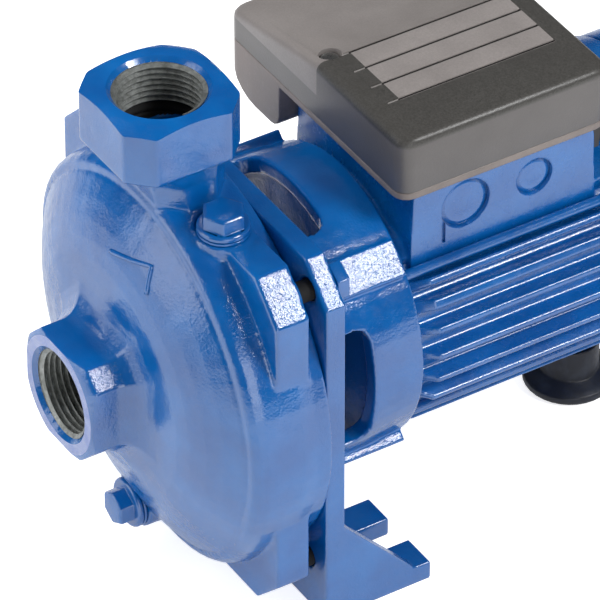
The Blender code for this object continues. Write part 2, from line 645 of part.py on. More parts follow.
def discharge_neck():
    """The neck under the discharge boss: a lip at its top, then straight walls that widen to the volute."""
    front, rear = SUCTION_Y + NECK_FRONT_FROM_SUCTION, SUCTION_Y + NECK_REAR_FROM_SUCTION
    boss_front = DISCHARGE_Y - PORT_ACROSS_FLATS / 2
    boss_rear = DISCHARGE_Y + PORT_ACROSS_FLATS / 2
    sections = (
        (NECK_HALF_WIDTH + NECK_LIP_WIDTH, boss_front + NECK_LIP_INSET, boss_rear - NECK_LIP_INSET,
         DISCHARGE_BOSS_LOW_Z + CONTACT_GAP),
        (NECK_HALF_WIDTH, front, rear, DISCHARGE_BOSS_LOW_Z - NECK_LIP_HEIGHT),
        (NECK_HALF_WIDTH, front + NECK_FRONT_SLOPE, rear, DISCHARGE_BOSS_LOW_Z - NECK_HEIGHT),
        (NECK_HALF_WIDTH + NECK_ROOT_WIDTH, front + NECK_FRONT_SLOPE, rear,
         SHAFT_HEIGHT + VOLUTE_RADIUS - NECK_ROOT_IN_VOLUTE),
    )
    return skin([[(u, v, height) for u, v in cut_corner_box(half, low_y, high_y, PORT_CORNER_FLAT)]
                 for half, low_y, high_y, height in sections])


def corner_plate(half_width, corner_cut, low_z, low_y, high_y, cut_bottom):
    """A square plate across the shaft with cut corners, from low_z up to half_width above the shaft."""
    near = half_width - corner_cut
    top = SHAFT_HEIGHT + half_width
    upper = [(half_width, SHAFT_HEIGHT + near), (near, top), (-near, top), (-half_width, SHAFT_HEIGHT + near)]
    if cut_bottom:
        lower = [(-half_width, SHAFT_HEIGHT - near), (-near, low_z), (near, low_z),
                 (half_width, SHAFT_HEIGHT - near)]
    else:
        lower = [(-half_width, low_z), (half_width, low_z)]
    return prism(upper + lower, low_y, high_y, "Y")


def pump_casing():
    body = turned(volute_profile(), on_shaft(SUCTION_Y), "Y")
    set_back_spiral(body)
    flange = corner_plate(FLANGE_HALF_WIDTH, FLANGE_CORNER_CUT, SHAFT_HEIGHT - FLANGE_HALF_WIDTH,
                          FLANGE_FRONT_Y, FLANGE_REAR_Y, True)
    stock = PLUG_SPOT_FACE_STOCK
    fill_boss = cylinder(FILL_BOSS_RADIUS, FILL_BOSS_TOP_Z - FILL_BOSS_HEIGHT, FILL_BOSS_TOP_Z + stock,
                         (FILL_BOSS_X, FILL_Y, 0.0), "Z", 32)
    drain_boss = cylinder(DRAIN_BOSS_RADIUS, -stock, FLANGE_FRONT_Y - DRAIN_FACE_Y,
                          (0.0, DRAIN_FACE_Y, DRAIN_Z), "Y", 32)
    body = unite(body, flange, boss_flare(), suction_boss(), discharge_neck(), discharge_boss(),
                 fill_boss, drain_boss)
    body = unite(body, gather(cylinder(BOLT_BOSS_RADIUS, FLANGE_FRONT_Y + FLANGE_THICKNESS / 2, CASING_REAR_Y,
                                       at, "Y") for at in bolt_places()))
    stem = PLUG_STEM_RADIUS + BOLT_CLEARANCE
    body = cut(body,
               gather(cylinder(BOLT_RADIUS + BOLT_CLEARANCE, CASING_REAR_Y - BOLT_THREAD_DEPTH,
                               PLATE_FRONT_Y + PLATE_THICKNESS, at, "Y", 20) for at in bolt_places()),
               turned(port_mouth(SUCTION_BORE_DEPTH), on_shaft(SUCTION_Y), "Y", 48),
               discharge_bore(),
               cylinder(stem, FILL_BOSS_TOP_Z - PLUG_STEM_LENGTH - PLUG_HOLE_RUNOUT,
                        FILL_BOSS_TOP_Z + PLUG_SPOT_FACE_HEIGHT / 2, (FILL_BOSS_X, FILL_Y, 0.0), "Z"),
               cylinder(PLUG_SPOT_FACE_RADIUS, FILL_BOSS_TOP_Z, FILL_BOSS_TOP_Z + PLUG_SPOT_FACE_HEIGHT,
                        (FILL_BOSS_X, FILL_Y, 0.0), "Z", 32),
               cylinder(PLUG_SPOT_FACE_RADIUS, -PLUG_SPOT_FACE_HEIGHT, 0.0,
                        (0.0, DRAIN_FACE_Y, DRAIN_Z), "Y", 32),
               cylinder(stem, -PLUG_SPOT_FACE_HEIGHT / 2, PLUG_STEM_LENGTH + PLUG_HOLE_RUNOUT,
                        (0.0, DRAIN_FACE_Y, DRAIN_Z), "Y"))
    place("pump_casing", body, BLUE_ENAMEL, 0.30)


def screw_plug(name, across_flats, place_at, axis):
    """A flanged hexagon plug, its stem towards the casting, seated on a washer."""
    seat = CONTACT_GAP * 2 + WASHER_THICKNESS
    body = unite(
        turned([(0.0, -PLUG_STEM_LENGTH), (PLUG_STEM_RADIUS, -PLUG_STEM_LENGTH), (PLUG_STEM_RADIUS, seat),
                (PLUG_FLANGE_RADIUS, seat),
                (PLUG_FLANGE_RADIUS, seat + PLUG_FLANGE_THICKNESS - PLUG_RIM_CHAMFER),
                (PLUG_FLANGE_RADIUS - PLUG_RIM_CHAMFER, seat + PLUG_FLANGE_THICKNESS),
                (0.0, seat + PLUG_FLANGE_THICKNESS)], place_at, axis, SMALL_SEGMENTS),
        hex_bar(across_flats, seat, seat + PLUG_FLANGE_THICKNESS + PLUG_HEX_HEIGHT, place_at, axis))
    place(name, body, BLUE_ENAMEL, 0.35)
    ring = tube(PLUG_FLANGE_RADIUS, PLUG_STEM_RADIUS + CONTACT_GAP, CONTACT_GAP,
                CONTACT_GAP + WASHER_THICKNESS, place_at, axis)
    place(name + "_washer", ring, BLUE_ENAMEL, 0.35)


def bolt_places():
    """The middle of each flange bolt, on the plane of the origin."""
    return [(side * BOLT_OFFSET, 0.0, SHAFT_HEIGHT + level * BOLT_OFFSET) for side, level in CORNERS]


def bracket_bell():
    """The lantern between flange plate and motor: a hollow barrel with a web for the shaft."""
    rear = BELL_LENGTH
    recess = SPIGOT_RADIUS + CONTACT_GAP
    inner = BELL_RADIUS - BELL_WALL
    web_front = BELL_CHAMBER_LENGTH
    web_rear = web_front + BELL_WEB_THICKNESS
    hole = SHAFT_RADIUS + SHAFT_CLEARANCE
    return turned([(inner, -PLATE_THICKNESS / 2), (BELL_RADIUS, -PLATE_THICKNESS / 2),
                   (BELL_RADIUS, BELL_STRAIGHT_LENGTH), (BELL_REAR_RADIUS, rear), (recess, rear),
                   (recess, web_rear), (hole, web_rear), (hole, web_front), (inner, web_front)],
                  on_shaft(PLATE_REAR_Y), "Y")


def bell_window(turn_degrees):
    half = BELL_RADIUS * sin(radians(WINDOW_HALF_ANGLE))
    corner = WINDOW_CORNER
    chamfer = WINDOW_CORNER_BREAK
    start, end = PLATE_REAR_Y + CONTACT_GAP, PLATE_REAR_Y + WINDOW_LENGTH
    outline = [(-half, start), (half, start), (half, end - corner), (half - chamfer, end - chamfer),
               (half - corner, end), (corner - half, end), (chamfer - half, end - chamfer),
               (-half, end - corner)]
    return around_shaft(prism(outline, WINDOW_INNER_RADIUS, BELL_RADIUS * 1.3, "Z"), turn_degrees)


def corner_post(turn_degrees):
    front, rear = PLATE_FRONT_Y / 2, PLATE_REAR_Y + POST_LENGTH
    outline = [(-POST_HALF_WIDTH, front), (POST_HALF_WIDTH, front), (POST_HALF_WIDTH, rear),
               (-POST_HALF_WIDTH, rear)]
    return around_shaft(prism(outline, BELL_RADIUS - BELL_WALL / 2, POST_DISTANCE, "Z"), turn_degrees)


def bracket_foot(side):
    """One sole with a slot open to the rear and a gusset up to the plate."""
    rear = PLATE_REAR_Y + FOOT_REACH
    sole = block((min(side * FOOT_INNER_X, side * FOOT_HALF_WIDTH), PLATE_FRONT_Y, 0.0),
                 (max(side * FOOT_INNER_X, side * FOOT_HALF_WIDTH), rear, FOOT_THICKNESS))
    edge = FOOT_HALF_WIDTH
    toe = rear - GUSSET_TO_TOE
    outline = [(0.0, FOOT_THICKNESS / 2), (toe, FOOT_THICKNESS / 2), (toe, FOOT_THICKNESS),
               (PLATE_REAR_Y, FOOT_THICKNESS + GUSSET_HEIGHT), (0.0, FOOT_THICKNESS + GUSSET_HEIGHT)]
    near, far = sorted((side * (edge - GUSSET_THICKNESS), side * edge))
    gusset = prism(outline, near, far, "X")
    centre = side * SLOT_CENTRE_X
    slot_front = rear - SLOT_LENGTH + SLOT_WIDTH / 2
    over = SLOT_WIDTH
    slot = unite(block((centre - SLOT_WIDTH / 2, slot_front, -over),
                       (centre + SLOT_WIDTH / 2, rear + over, FOOT_THICKNESS + over)),
                 cylinder(SLOT_WIDTH / 2, -over, FOOT_THICKNESS + over, (centre, slot_front, 0.0), "Z"))
    return cut(unite(sole, gusset), slot)


def leg_flare(side):
    """The strip by which the plate's side widens down to the foot."""
    top = SHAFT_HEIGHT + FLANGE_HALF_WIDTH - FLANGE_CORNER_CUT
    inner = side * (FLANGE_HALF_WIDTH - LEG_FLARE_OVERLAP)
    outer = side * (FLANGE_HALF_WIDTH + CONTACT_GAP / 3)
    outline = [(inner, 0.0), (side * FOOT_HALF_WIDTH, 0.0), (outer, top), (inner, top)]
    return prism(outline, PLATE_FRONT_Y, PLATE_REAR_Y, "Y")


def motor_bracket():
    body = corner_plate(FLANGE_HALF_WIDTH, FLANGE_CORNER_CUT, 0.0, PLATE_FRONT_Y, PLATE_REAR_Y, False)
    body = unite(body, leg_flare(1), leg_flare(-1))
    bore = cylinder(BRACKET_BORE_RADIUS, -PLATE_THICKNESS, PLATE_THICKNESS, SHAFT_POINT, "Y", 48)
    body = cut(body, bore)
    body = unite(body, bracket_bell())
    body = unite(body, gather(corner_post(turn) for turn in (45, 135, 225, 315)))
    body = cut(body, gather(bell_window(turn) for turn in (0, 90, 180, 270)))
    body = unite(body, gather(bracket_foot(side) for side in (1, -1)))
    body = cut(body, gather(cylinder(BOLT_RADIUS + BOLT_CLEARANCE, PLATE_FRONT_Y - PLATE_THICKNESS,
                                     PLATE_REAR_Y + PLATE_THICKNESS, at, "Y", 20) for at in bolt_places()))
    body = cut(body, gather(cylinder(TIE_RADIUS + BOLT_CLEARANCE, BELL_REAR_Y - TIE_THREAD_DEPTH,
                                     BELL_REAR_Y + TIE_THREAD_DEPTH, at, "Y", 16) for at in tie_rod_places()))
    place("motor_bracket", body, BLUE_ENAMEL, 0.30)


def flange_bolts():
    seat = PLATE_REAR_Y + CONTACT_GAP
    for number, at in enumerate(bolt_places(), start=1):
        shank = cylinder(BOLT_RADIUS, CASING_REAR_Y - BOLT_THREAD_DEPTH + CONTACT_GAP,
                         seat + BOLT_HEAD_HEIGHT / 4, at, "Y")
        head = hex_bar(BOLT_HEAD_ACROSS_FLATS, seat, seat + BOLT_HEAD_HEIGHT, at, "Y")
        place("flange_bolt_%d" % number, unite(head, shank), BLUE_ENAMEL, 0.35)


def seal_plate():
    """Cover between pump chamber and lantern, with the shaft seal's housing towards the motor."""
    rim = BRACKET_BORE_RADIUS - CONTACT_GAP
    front = CASING_REAR_Y + CONTACT_GAP - PLATE_FRONT_Y
    hole = SHAFT_RADIUS + SHAFT_CLEARANCE
    thick = front + SEAL_PLATE_THICKNESS
    body = turned([(hole, front), (rim, front), (rim, thick), (SEAL_HOUSING_RADIUS, thick),
                   (SEAL_HOUSING_END_RADIUS, thick + SEAL_HOUSING_LENGTH),
                   (hole, thick + SEAL_HOUSING_LENGTH)], on_shaft(PLATE_FRONT_Y), "Y", 48)
    place("seal_plate", body, PALE_STEEL, 0.45, 1.0)


def pump_shaft():
    front = CASING_REAR_Y + CONTACT_GAP
    rear = WEB_REAR_Y + SHAFT_PAST_WEB
    place("pump_shaft", cylinder(SHAFT_RADIUS, front, rear, SHAFT_POINT, "Y"), PALE_STEEL, 0.3, 1.0)
    far = WEB_FRONT_Y - SLINGER_TO_WEB
    ring = tube(SLINGER_RADIUS, SHAFT_RADIUS + CONTACT_GAP, far - SLINGER_THICKNESS, far, SHAFT_POINT, "Y")
    place("water_slinger", ring, RUBBER_BLACK, 0.6)


def fin_outline(angle, thickness):
    """The tip corners of one fin and its two root corners on the frame's barrel."""
    half_tip = asin(thickness / 2 / FRAME_FIN_RADIUS)
    half_root = asin(thickness / 2 * FIN_ROOT_GROWTH / FRAME_ROOT_RADIUS)
    centre = radians(angle)
    return [(FRAME_ROOT_RADIUS, centre - half_root), (FRAME_FIN_RADIUS, centre - half_tip),
            (FRAME_FIN_RADIUS, centre + half_tip), (FRAME_ROOT_RADIUS, centre + half_root)]


def frame_section():
    """The finned outline of the frame, anticlockwise from the lowest fin on the right side."""
    angles = sorted(FIN_ANGLES)
    right = []
    for angle in angles:
        thickness = WIDE_FIN_THICKNESS if angle == WIDE_FIN_ANGLE else FIN_THICKNESS
        right += fin_outline(angle, thickness)
    edge = radians(BOX_EDGE_ANGLE)
    shoulder = asin(FIN_THICKNESS / FRAME_ROOT_RADIUS)
    right += [(FRAME_ROOT_RADIUS, edge - shoulder), (FRAME_FIN_RADIUS, edge)]
    outline = [(radius * cos(angle), radius * sin(angle)) for radius, angle in right]
    crown_start = radians(FRAME_CROWN_ANGLE)
    crown = [(FRAME_ROOT_RADIUS * cos(crown_start + (pi - 2 * crown_start) * step / 8),
              FRAME_ROOT_RADIUS * sin(crown_start + (pi - 2 * crown_start) * step / 8)) for step in range(9)]
    left = [(-u, v) for u, v in reversed(outline)]
    return outline + crown + left


def motor_frame():
    outline = shifted(frame_section(), 0.0, SHAFT_HEIGHT)
    body = prism(outline, FRAME_FRONT_Y, FRAME_REAR_Y, "Y")
    far = FRAME_LENGTH
    over = CONTACT_GAP * 3
    tip = FRAME_FIN_RADIUS + over
    root = FRAME_ROOT_RADIUS - over
    slope = FIN_END_SLOPE * (tip - root) / (FRAME_FIN_RADIUS - FRAME_ROOT_RADIUS)
    envelope = turned([(0.0, -over), (root, -over), (tip, slope), (tip, far - slope), (root, far + over),
                       (0.0, far + over)], on_shaft(FRAME_FRONT_Y), "Y")
    body = combine("INTERSECT", body, envelope)
    spigot = cylinder(SPIGOT_RADIUS, -SPIGOT_LENGTH, SPIGOT_LENGTH, on_shaft(FRAME_FRONT_Y), "Y", 48)
    draft = BOX_DRAFT
    low_z = SHAFT_HEIGHT + FRAME_ROOT_RADIUS / 2
    ledge_z = SHAFT_HEIGHT + FRAME_FIN_RADIUS * sin(radians(BOX_EDGE_ANGLE))
    rings = []
    for height, grow in ((BOX_TOP_Z, 0.0), (ledge_z, draft), (low_z, draft)):
        front, rear = BOX_FRONT_Y + draft - grow, BOX_REAR_Y - draft + grow
        rings.append([(BOX_HALF_WIDTH, front, height), (BOX_HALF_WIDTH, rear, height),
                      (-BOX_HALF_WIDTH, rear, height), (-BOX_HALF_WIDTH, front, height)])
    body = unite(body, spigot, skin(rings))
    body = cut(body, gather(cylinder(radius, 0.0, KNOCKOUT_DEPTH * 4, at, "X", 32)
                            for at, radius in knockout_places()))
    lug_top = SHAFT_HEIGHT - FRAME_ROOT_RADIUS + REAR_FOOT_LUG_SINK
    half = REAR_FOOT_LUG_HALF_WIDTH
    body = unite(body, block((REAR_FOOT_X - half, REAR_FOOT_Y - half, REAR_FOOT_TOP_Z + CONTACT_GAP),
                             (REAR_FOOT_X + half, REAR_FOOT_Y + half, lug_top)))
    place("motor_frame", body, BLUE_ENAMEL, 0.30)


def knockout_places():
    """The bottom of each knockout's pocket in the box's right wall, with its radius."""
    sizes = ((KNOCKOUT_LARGE_FROM_SUCTION, KNOCKOUT_LARGE_RADIUS),
             (KNOCKOUT_SMALL_FROM_SUCTION, KNOCKOUT_SMALL_RADIUS))
    x, z = BOX_HALF_WIDTH - KNOCKOUT_DEPTH, BOX_TOP_Z - KNOCKOUT_BELOW_BOX_TOP
    return [((x, SUCTION_Y + along, z), radius) for along, radius in sizes]


def knockouts():
    names = ("knockout_large", "knockout_small")
    for name, (at, radius) in zip(names, knockout_places()):
        disc = cylinder(radius - CONTACT_GAP, CONTACT_GAP, CONTACT_GAP + KNOCKOUT_THICKNESS, at, "X", 32)
        place(name, disc, BLUE_ENAMEL, 0.30)


def tie_rod_places():
    angles = {1: radians(BOX_EDGE_ANGLE * UPPER_TIE_SHARE), -1: radians(LOWER_TIE_ANGLE)}
    return [(side * TIE_DISTANCE * cos(angles[level]), 0.0, SHAFT_HEIGHT + TIE_DISTANCE * sin(angles[level]))
            for side, level in CORNERS]


def lid_outline(inset):
    """Top view of the lid and tray, with rounded corners."""
    left, right = LID_LEFT_X + inset, LID_RIGHT_X - inset
    front, rear = LID_FRONT_Y + inset, LID_REAR_Y - inset
    radius = LID_CORNER_RADIUS
    outline = []
    for u, v, start in ((right, front, -90), (right, rear, 0), (left, rear, 90), (left, front, 180)):
        centre_u = u - radius if u == right else u + radius
        centre_v = v - radius if v == rear else v + radius
        for step in range(5):
            angle = radians(start + 22.5 * step)
            outline.append((centre_u + radius * cos(angle), centre_v + radius * sin(angle)))
    return outline


def lid_screw_places():
    return [(LID_SCREW_X, LID_FRONT_Y + LID_SCREW_INSET), (LID_SCREW_X, LID_REAR_Y - LID_SCREW_INSET)]


def arc(centre, radius, start, steps=6):
    """Points of a quarter circle, anticlockwise from the start angle in degrees."""
    angles = [radians(start + 90.0 * step / steps) for step in range(steps + 1)]
    return [(centre[0] + radius * cos(angle), centre[1] + radius * sin(angle)) for angle in angles]


def terminal_tray():
    """The plastic tray between cast box and lid, with the deep bowl that hangs at its left."""
    tray = prism(lid_outline(0.0), TRAY_BOTTOM_Z, TRAY_TOP_Z, "Z")
    low = BOX_TOP_Z - BOWL_BELOW_BOX_TOP
    outer, inner = BOWL_CORNER_RADIUS, BOWL_INNER_CORNER_RADIUS
    outline = [(BOWL_RIGHT_X, TRAY_TOP_Z), (LID_LEFT_X, TRAY_TOP_Z)]
    outline += arc((LID_LEFT_X + outer, low + outer), outer, 180)
    outline += arc((BOWL_RIGHT_X - inner, low + inner), inner, 270, 4)
    bowl = prism(outline, LID_FRONT_Y, LID_REAR_Y, "Y")
    round_off = prism(lid_outline(0.0), low - BOWL_CORNER_RADIUS, TRAY_TOP_Z + BOWL_CORNER_RADIUS, "Z")
    place("terminal_box_tray", unite(tray, combine("INTERSECT", bowl, round_off)), LID_PLASTIC, 0.45)


def lid_top_z(x):
    """The lid is level on the right and falls towards its left side."""
    return LID_TOP_Z - max(0.0, LID_FALL_START_X - x) * LID_FALL


def terminal_box_lid():
    edge = LID_EDGE_RADIUS
    rings = [[(u, v, LID_BOTTOM_Z) for u, v in lid_outline(0.0)]]
    for step in range(5):
        angle = pi / 2 * step / 4
        height = LID_TOP_Z - edge + edge * sin(angle)
        rings.append([(u, v, height) for u, v in lid_outline(edge * (1 - cos(angle)))])
    lid = skin(rings)
    everything = lid.verts[:] + lid.edges[:] + lid.faces[:]
    bmesh.ops.bisect_plane(lid, geom=everything, plane_co=(LID_FALL_START_X, 0.0, 0.0),
                           plane_no=(1.0, 0.0, 0.0))
    for vert in lid.verts:
        if vert.co.z > LID_BOTTOM_Z + edge:
            vert.co.z -= LID_TOP_Z - lid_top_z(vert.co.x)
    pockets = gather(cylinder(LID_SCREW_POCKET_RADIUS, lid_top_z(x) - LID_SCREW_POCKET_DEPTH,
                              lid_top_z(x) + LID_SCREW_POCKET_DEPTH, (x, y, 0.0), "Z")
                     for x, y in lid_screw_places())
    place("terminal_box_lid", cut(lid, pockets), LID_PLASTIC, 0.45)
    for number, (x, y) in enumerate(lid_screw_places(), start=1):
        low = lid_top_z(x) - LID_SCREW_POCKET_DEPTH + CONTACT_GAP
        head = cylinder(LID_SCREW_RADIUS, low, low + LID_SCREW_HEAD_HEIGHT, (x, y, 0.0), "Z")
        place("lid_screw_%d" % number, head, ZINC_STEEL, 0.35, 1.0)


def cable_gland():
    """A gland on the box's rear wall: body, cap nut and an open middle."""
    at = (GLAND_X, BOX_REAR_Y + CONTACT_GAP, BOX_TOP_Z - GLAND_BELOW_BOX_TOP)
    nut = hex_bar(GLAND_HEX_ACROSS_FLATS, 0.0, GLAND_HEX_HEIGHT, at, "Y")
    start = GLAND_HEX_HEIGHT / 3
    cap = turned([(0.0, start), (GLAND_RADIUS, start), (GLAND_RADIUS, GLAND_CAP_LENGTH),
                  (GLAND_MOUTH_RADIUS, GLAND_LENGTH), (0.0, GLAND_LENGTH)], at, "Y")
    hole = cylinder(GLAND_HOLE_RADIUS, GLAND_HOLE_START, GLAND_LENGTH * 1.5, at, "Y")
    place("cable_gland", cut(unite(nut, cap), hole), FAN_PLASTIC, 0.5)


def rear_shield():
    body = turned([(0.0, 0.0), (FRAME_FIN_RADIUS, 0.0), (SHIELD_RADIUS, SHIELD_CHAMFER),
                   (SHIELD_RADIUS, SHIELD_RIM_LENGTH), (COVER_RADIUS - SHIELD_STEP, SHIELD_LENGTH),
                   (0.0, SHIELD_LENGTH)], on_shaft(SHIELD_FRONT_Y), "Y")
    over = SHIELD_LENGTH
    body = cut(body,
               gather(cylinder(TIE_RADIUS + BOLT_CLEARANCE, SHIELD_FRONT_Y - over, SHIELD_REAR_Y + over, at,
                               "Y", 16) for at in tie_rod_places()),
               gather(cylinder(TIE_POCKET_RADIUS, TIE_SEAT_Y, SHIELD_REAR_Y + over, at, "Y")
                      for at in tie_rod_places()))
    place("rear_shield", body, BLUE_ENAMEL, 0.30)


def tie_rods():
    """Four long screws through the rear shield, along the frame and into the bracket's bell."""
    front = BELL_REAR_Y - TIE_THREAD_DEPTH + CONTACT_GAP
    seat = TIE_SEAT_Y + CONTACT_GAP
    for number, at in enumerate(tie_rod_places(), start=1):
        rod = cylinder(TIE_RADIUS, front, seat + TIE_NUT_HEIGHT / 4, at, "Y", 16)
        head = hex_bar(TIE_NUT_ACROSS_FLATS, seat, seat + TIE_NUT_HEIGHT, at, "Y")
        place("tie_rod_%d" % number, unite(head, rod), BLUE_ENAMEL, 0.35)


def fan_cover():
    length = COVER_LENGTH
    wall = COVER_WALL
    edge = COVER_EDGE_RADIUS
    outer = COVER_RADIUS
    profile = [(outer - wall, 0.0), (outer, 0.0)]
    for step in range(5):
        angle = pi / 2 * step / 4
        profile.append((outer - edge + edge * cos(angle), length - edge + edge * sin(angle)))
    profile.append((0.0, length))
    profile.append((0.0, length - wall))
    for step in range(4, -1, -1):
        angle = pi / 2 * step / 4
        profile.append((outer - edge + (edge - wall) * cos(angle),
                        length - edge + (edge - wall) * sin(angle)))
    body = turned(profile + [(outer - wall, 0.0)], on_shaft(COVER_FRONT_Y), "Y", 48)
    bmesh.ops.remove_doubles(body, verts=body.verts, dist=1e-6)
    slots = gather(around_shaft(block((-COVER_SLOT_WIDTH / 2, COVER_REAR_Y - COVER_EDGE_RADIUS,
                                       COVER_SLOT_INNER_RADIUS),
                                      (COVER_SLOT_WIDTH / 2, COVER_REAR_Y + COVER_EDGE_RADIUS,
                                       COVER_SLOT_OUTER_RADIUS)), 360.0 * step / COVER_SLOT_COUNT)
                   for step in range(COVER_SLOT_COUNT))
    place("fan_cover", cut(body, slots), BLUE_ENAMEL, 0.35)


def cooling_fan():
    """Hub, back plate and straight blades; the sleeve reaches the shield, where the shaft comes out."""
    start = FAN_FROM_SHIELD
    back = start + FAN_BACK_THICKNESS
    body = turned([(0.0, CONTACT_GAP), (FAN_SLEEVE_RADIUS, CONTACT_GAP), (FAN_SLEEVE_RADIUS, start),
                   (FAN_RADIUS, start), (FAN_RADIUS, back), (FAN_HUB_RADIUS, back),
                   (FAN_HUB_RADIUS, start + FAN_DEPTH), (0.0, start + FAN_DEPTH)],
                  on_shaft(SHIELD_REAR_Y), "Y", 48)
    half = FAN_BLADE_THICKNESS / 2
    low = (-half, SHIELD_REAR_Y + start + FAN_BACK_THICKNESS / 2, FAN_HUB_RADIUS - half)
    high = (half, SHIELD_REAR_Y + start + FAN_DEPTH - half, FAN_RADIUS - half)
    blades = gather(around_shaft(block(low, high), 360.0 * (step + 0.5) / FAN_BLADE_COUNT)
                    for step in range(FAN_BLADE_COUNT))
    place("cooling_fan", unite(body, blades), FAN_PLASTIC, 0.5)


def rear_foot():
    flange = REAR_FOOT_FLANGE_HEIGHT
    top = REAR_FOOT_TOP_Z
    radius = REAR_FOOT_RADIUS
    edge = REAR_FOOT_ROUNDING
    body = turned([(0.0, 0.0), (radius - edge, 0.0), (radius, edge), (radius, flange - edge),
                   (radius - REAR_FOOT_SHOULDER, flange), (REAR_FOOT_NECK_RADIUS, flange + edge),
                   (REAR_FOOT_NECK_RADIUS, top), (0.0, top)], (REAR_FOOT_X, REAR_FOOT_Y, 0.0), "Z", 32)
    place("rear_foot", body, RUBBER_BLACK, 0.55)


def build():
    clear_scene()
    pump_casing()
    screw_plug("filling_plug", FILLING_HEX_ACROSS_FLATS, Vector((FILL_BOSS_X, FILL_Y, FILL_BOSS_TOP_Z)), "Z")
    screw_plug("drain_plug", DRAIN_HEX_ACROSS_FLATS, Vector((0.0, DRAIN_FACE_Y, DRAIN_Z)), "-Y")
    motor_bracket()
    flange_bolts()
    seal_plate()
    pump_shaft()
    motor_frame()
    knockouts()
    terminal_tray()
    terminal_box_lid()
    cable_gland()
    rear_shield()
    tie_rods()
    fan_cover()
    cooling_fan()
    rear_foot()


build()
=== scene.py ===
# Looks for the close-coupled pump: cast and machined enamel parts, plastic terminal box, studio
from math import cos, pi, radians, sin, sqrt

import bmesh
import bpy
from mathutils import Matrix, Vector
from mathutils.bvhtree import BVHTree


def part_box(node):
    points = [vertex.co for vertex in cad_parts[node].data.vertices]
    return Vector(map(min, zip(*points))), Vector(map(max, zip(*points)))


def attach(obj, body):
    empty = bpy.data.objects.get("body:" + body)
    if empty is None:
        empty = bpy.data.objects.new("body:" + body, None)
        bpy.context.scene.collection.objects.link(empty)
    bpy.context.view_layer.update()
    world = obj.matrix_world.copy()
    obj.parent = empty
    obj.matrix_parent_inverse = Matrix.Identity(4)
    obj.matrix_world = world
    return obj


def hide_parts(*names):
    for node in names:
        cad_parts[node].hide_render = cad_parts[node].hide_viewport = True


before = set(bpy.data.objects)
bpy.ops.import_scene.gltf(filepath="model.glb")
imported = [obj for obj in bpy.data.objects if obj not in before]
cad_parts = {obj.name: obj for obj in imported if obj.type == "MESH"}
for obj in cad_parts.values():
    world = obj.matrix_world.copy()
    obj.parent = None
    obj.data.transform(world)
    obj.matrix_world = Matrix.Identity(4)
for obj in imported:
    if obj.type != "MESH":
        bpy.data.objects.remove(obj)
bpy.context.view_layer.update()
root = "root"
shaftZ = (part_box("pump_shaft")[0].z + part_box("pump_shaft")[1].z) / 2
casingLow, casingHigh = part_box("pump_casing")
suctionY = casingLow.y  # the suction face looks to -Y, the discharge face up
dischargeTop = casingHigh.z
print("frame loaded")


# Shader maths: sockets that work in plain expressions

class Wire:
    def __init__(self, finish, socket):
        self.finish = finish
        self.socket = socket

    def op(self, operation, first, second=0.0):
        return self.finish.node("Math", {"operation": operation}, {0: first, 1: second})

    def __add__(self, other):
        return self.op("ADD", self, other)

    def __radd__(self, other):
        return self.op("ADD", other, self)

    def __sub__(self, other):
        return self.op("SUBTRACT", self, other)

    def __rsub__(self, other):
        return self.op("SUBTRACT", other, self)

    def __mul__(self, other):
        return self.op("MULTIPLY", self, other)

    def __rmul__(self, other):
        return self.op("MULTIPLY", other, self)

    def __pow__(self, other):
        return self.op("POWER", self, other)

    def __gt__(self, other):
        return self.op("GREATER_THAN", self, other)

    def __lt__(self, other):
        return self.op("LESS_THAN", self, other)

    def sine(self):
        return self.op("SINE", self)

    def atLeast(self, other):
        return self.op("MAXIMUM", self, other)


class Finish:
    def __init__(self, name):
        self.material = bpy.data.materials.new(name)
        self.material.use_nodes = True
        self.tree = self.material.node_tree
        self.tree.nodes.clear()
        self.place = self.node("TexCoord", {}, {}, "Object")

    def node(self, kind, settings, values, output=0):
        made = self.tree.nodes.new("ShaderNode" + kind)
        for key, value in settings.items():
            setattr(made, key, value)
        for key, value in values.items():
            if isinstance(value, Wire):
                self.tree.links.new(value.socket, made.inputs[key])
            else:
                made.inputs[key].default_value = value
        return None if output is None else Wire(self, made.outputs[output])

    def axes(self):
        outputs = self.node("SeparateXYZ", {}, {0: self.place}).socket.node.outputs
        return [Wire(self, outputs[i]) for i in range(3)]

    def noise(self, grain, detail=2.0, rough=0.5):
        return self.node("TexNoise", {}, {"Vector": self.place, "Scale": 1 / grain,
                                          "Detail": detail, "Roughness": rough})

    def cells(self, grain):
        return self.node("TexVoronoi", {}, {"Vector": self.place, "Scale": 1 / grain})

    def ramp(self, value, low, high, start=0.0, end=1.0):
        return self.node("MapRange", {}, {0: value, 1: low, 2: high, 3: start, 4: end})

    def blend(self, share, first, second):
        return self.node("Mix", {"data_type": "RGBA"}, {0: share, 6: first, 7: second}, 2)

    def bump(self, height, depth, under=None):
        values = {"Height": height, "Distance": depth}
        if under is not None:
            values["Normal"] = under
        return self.node("Bump", {}, values)

    def surface(self, values):
        shader = self.node("BsdfPrincipled", {}, values)
        self.node("OutputMaterial", {}, {0: shader}, None)
        return self.material


# Blue enamel over rough castings: slow swells under a fine grain, no coat, so the grain takes the light

enamelLook = {"deep": (0.0, 0.092, 0.350, 1), "thin": (0.0, 0.132, 0.450, 1), "roughness": (0.13, 0.27),
              "ior": 1.95, "swellSize": 0.012, "grainSize": 0.0012, "crumbScale": 0.8, "crumbShare": 0.25,
              "cloudSize": 0.020, "dullSize": 0.0035}


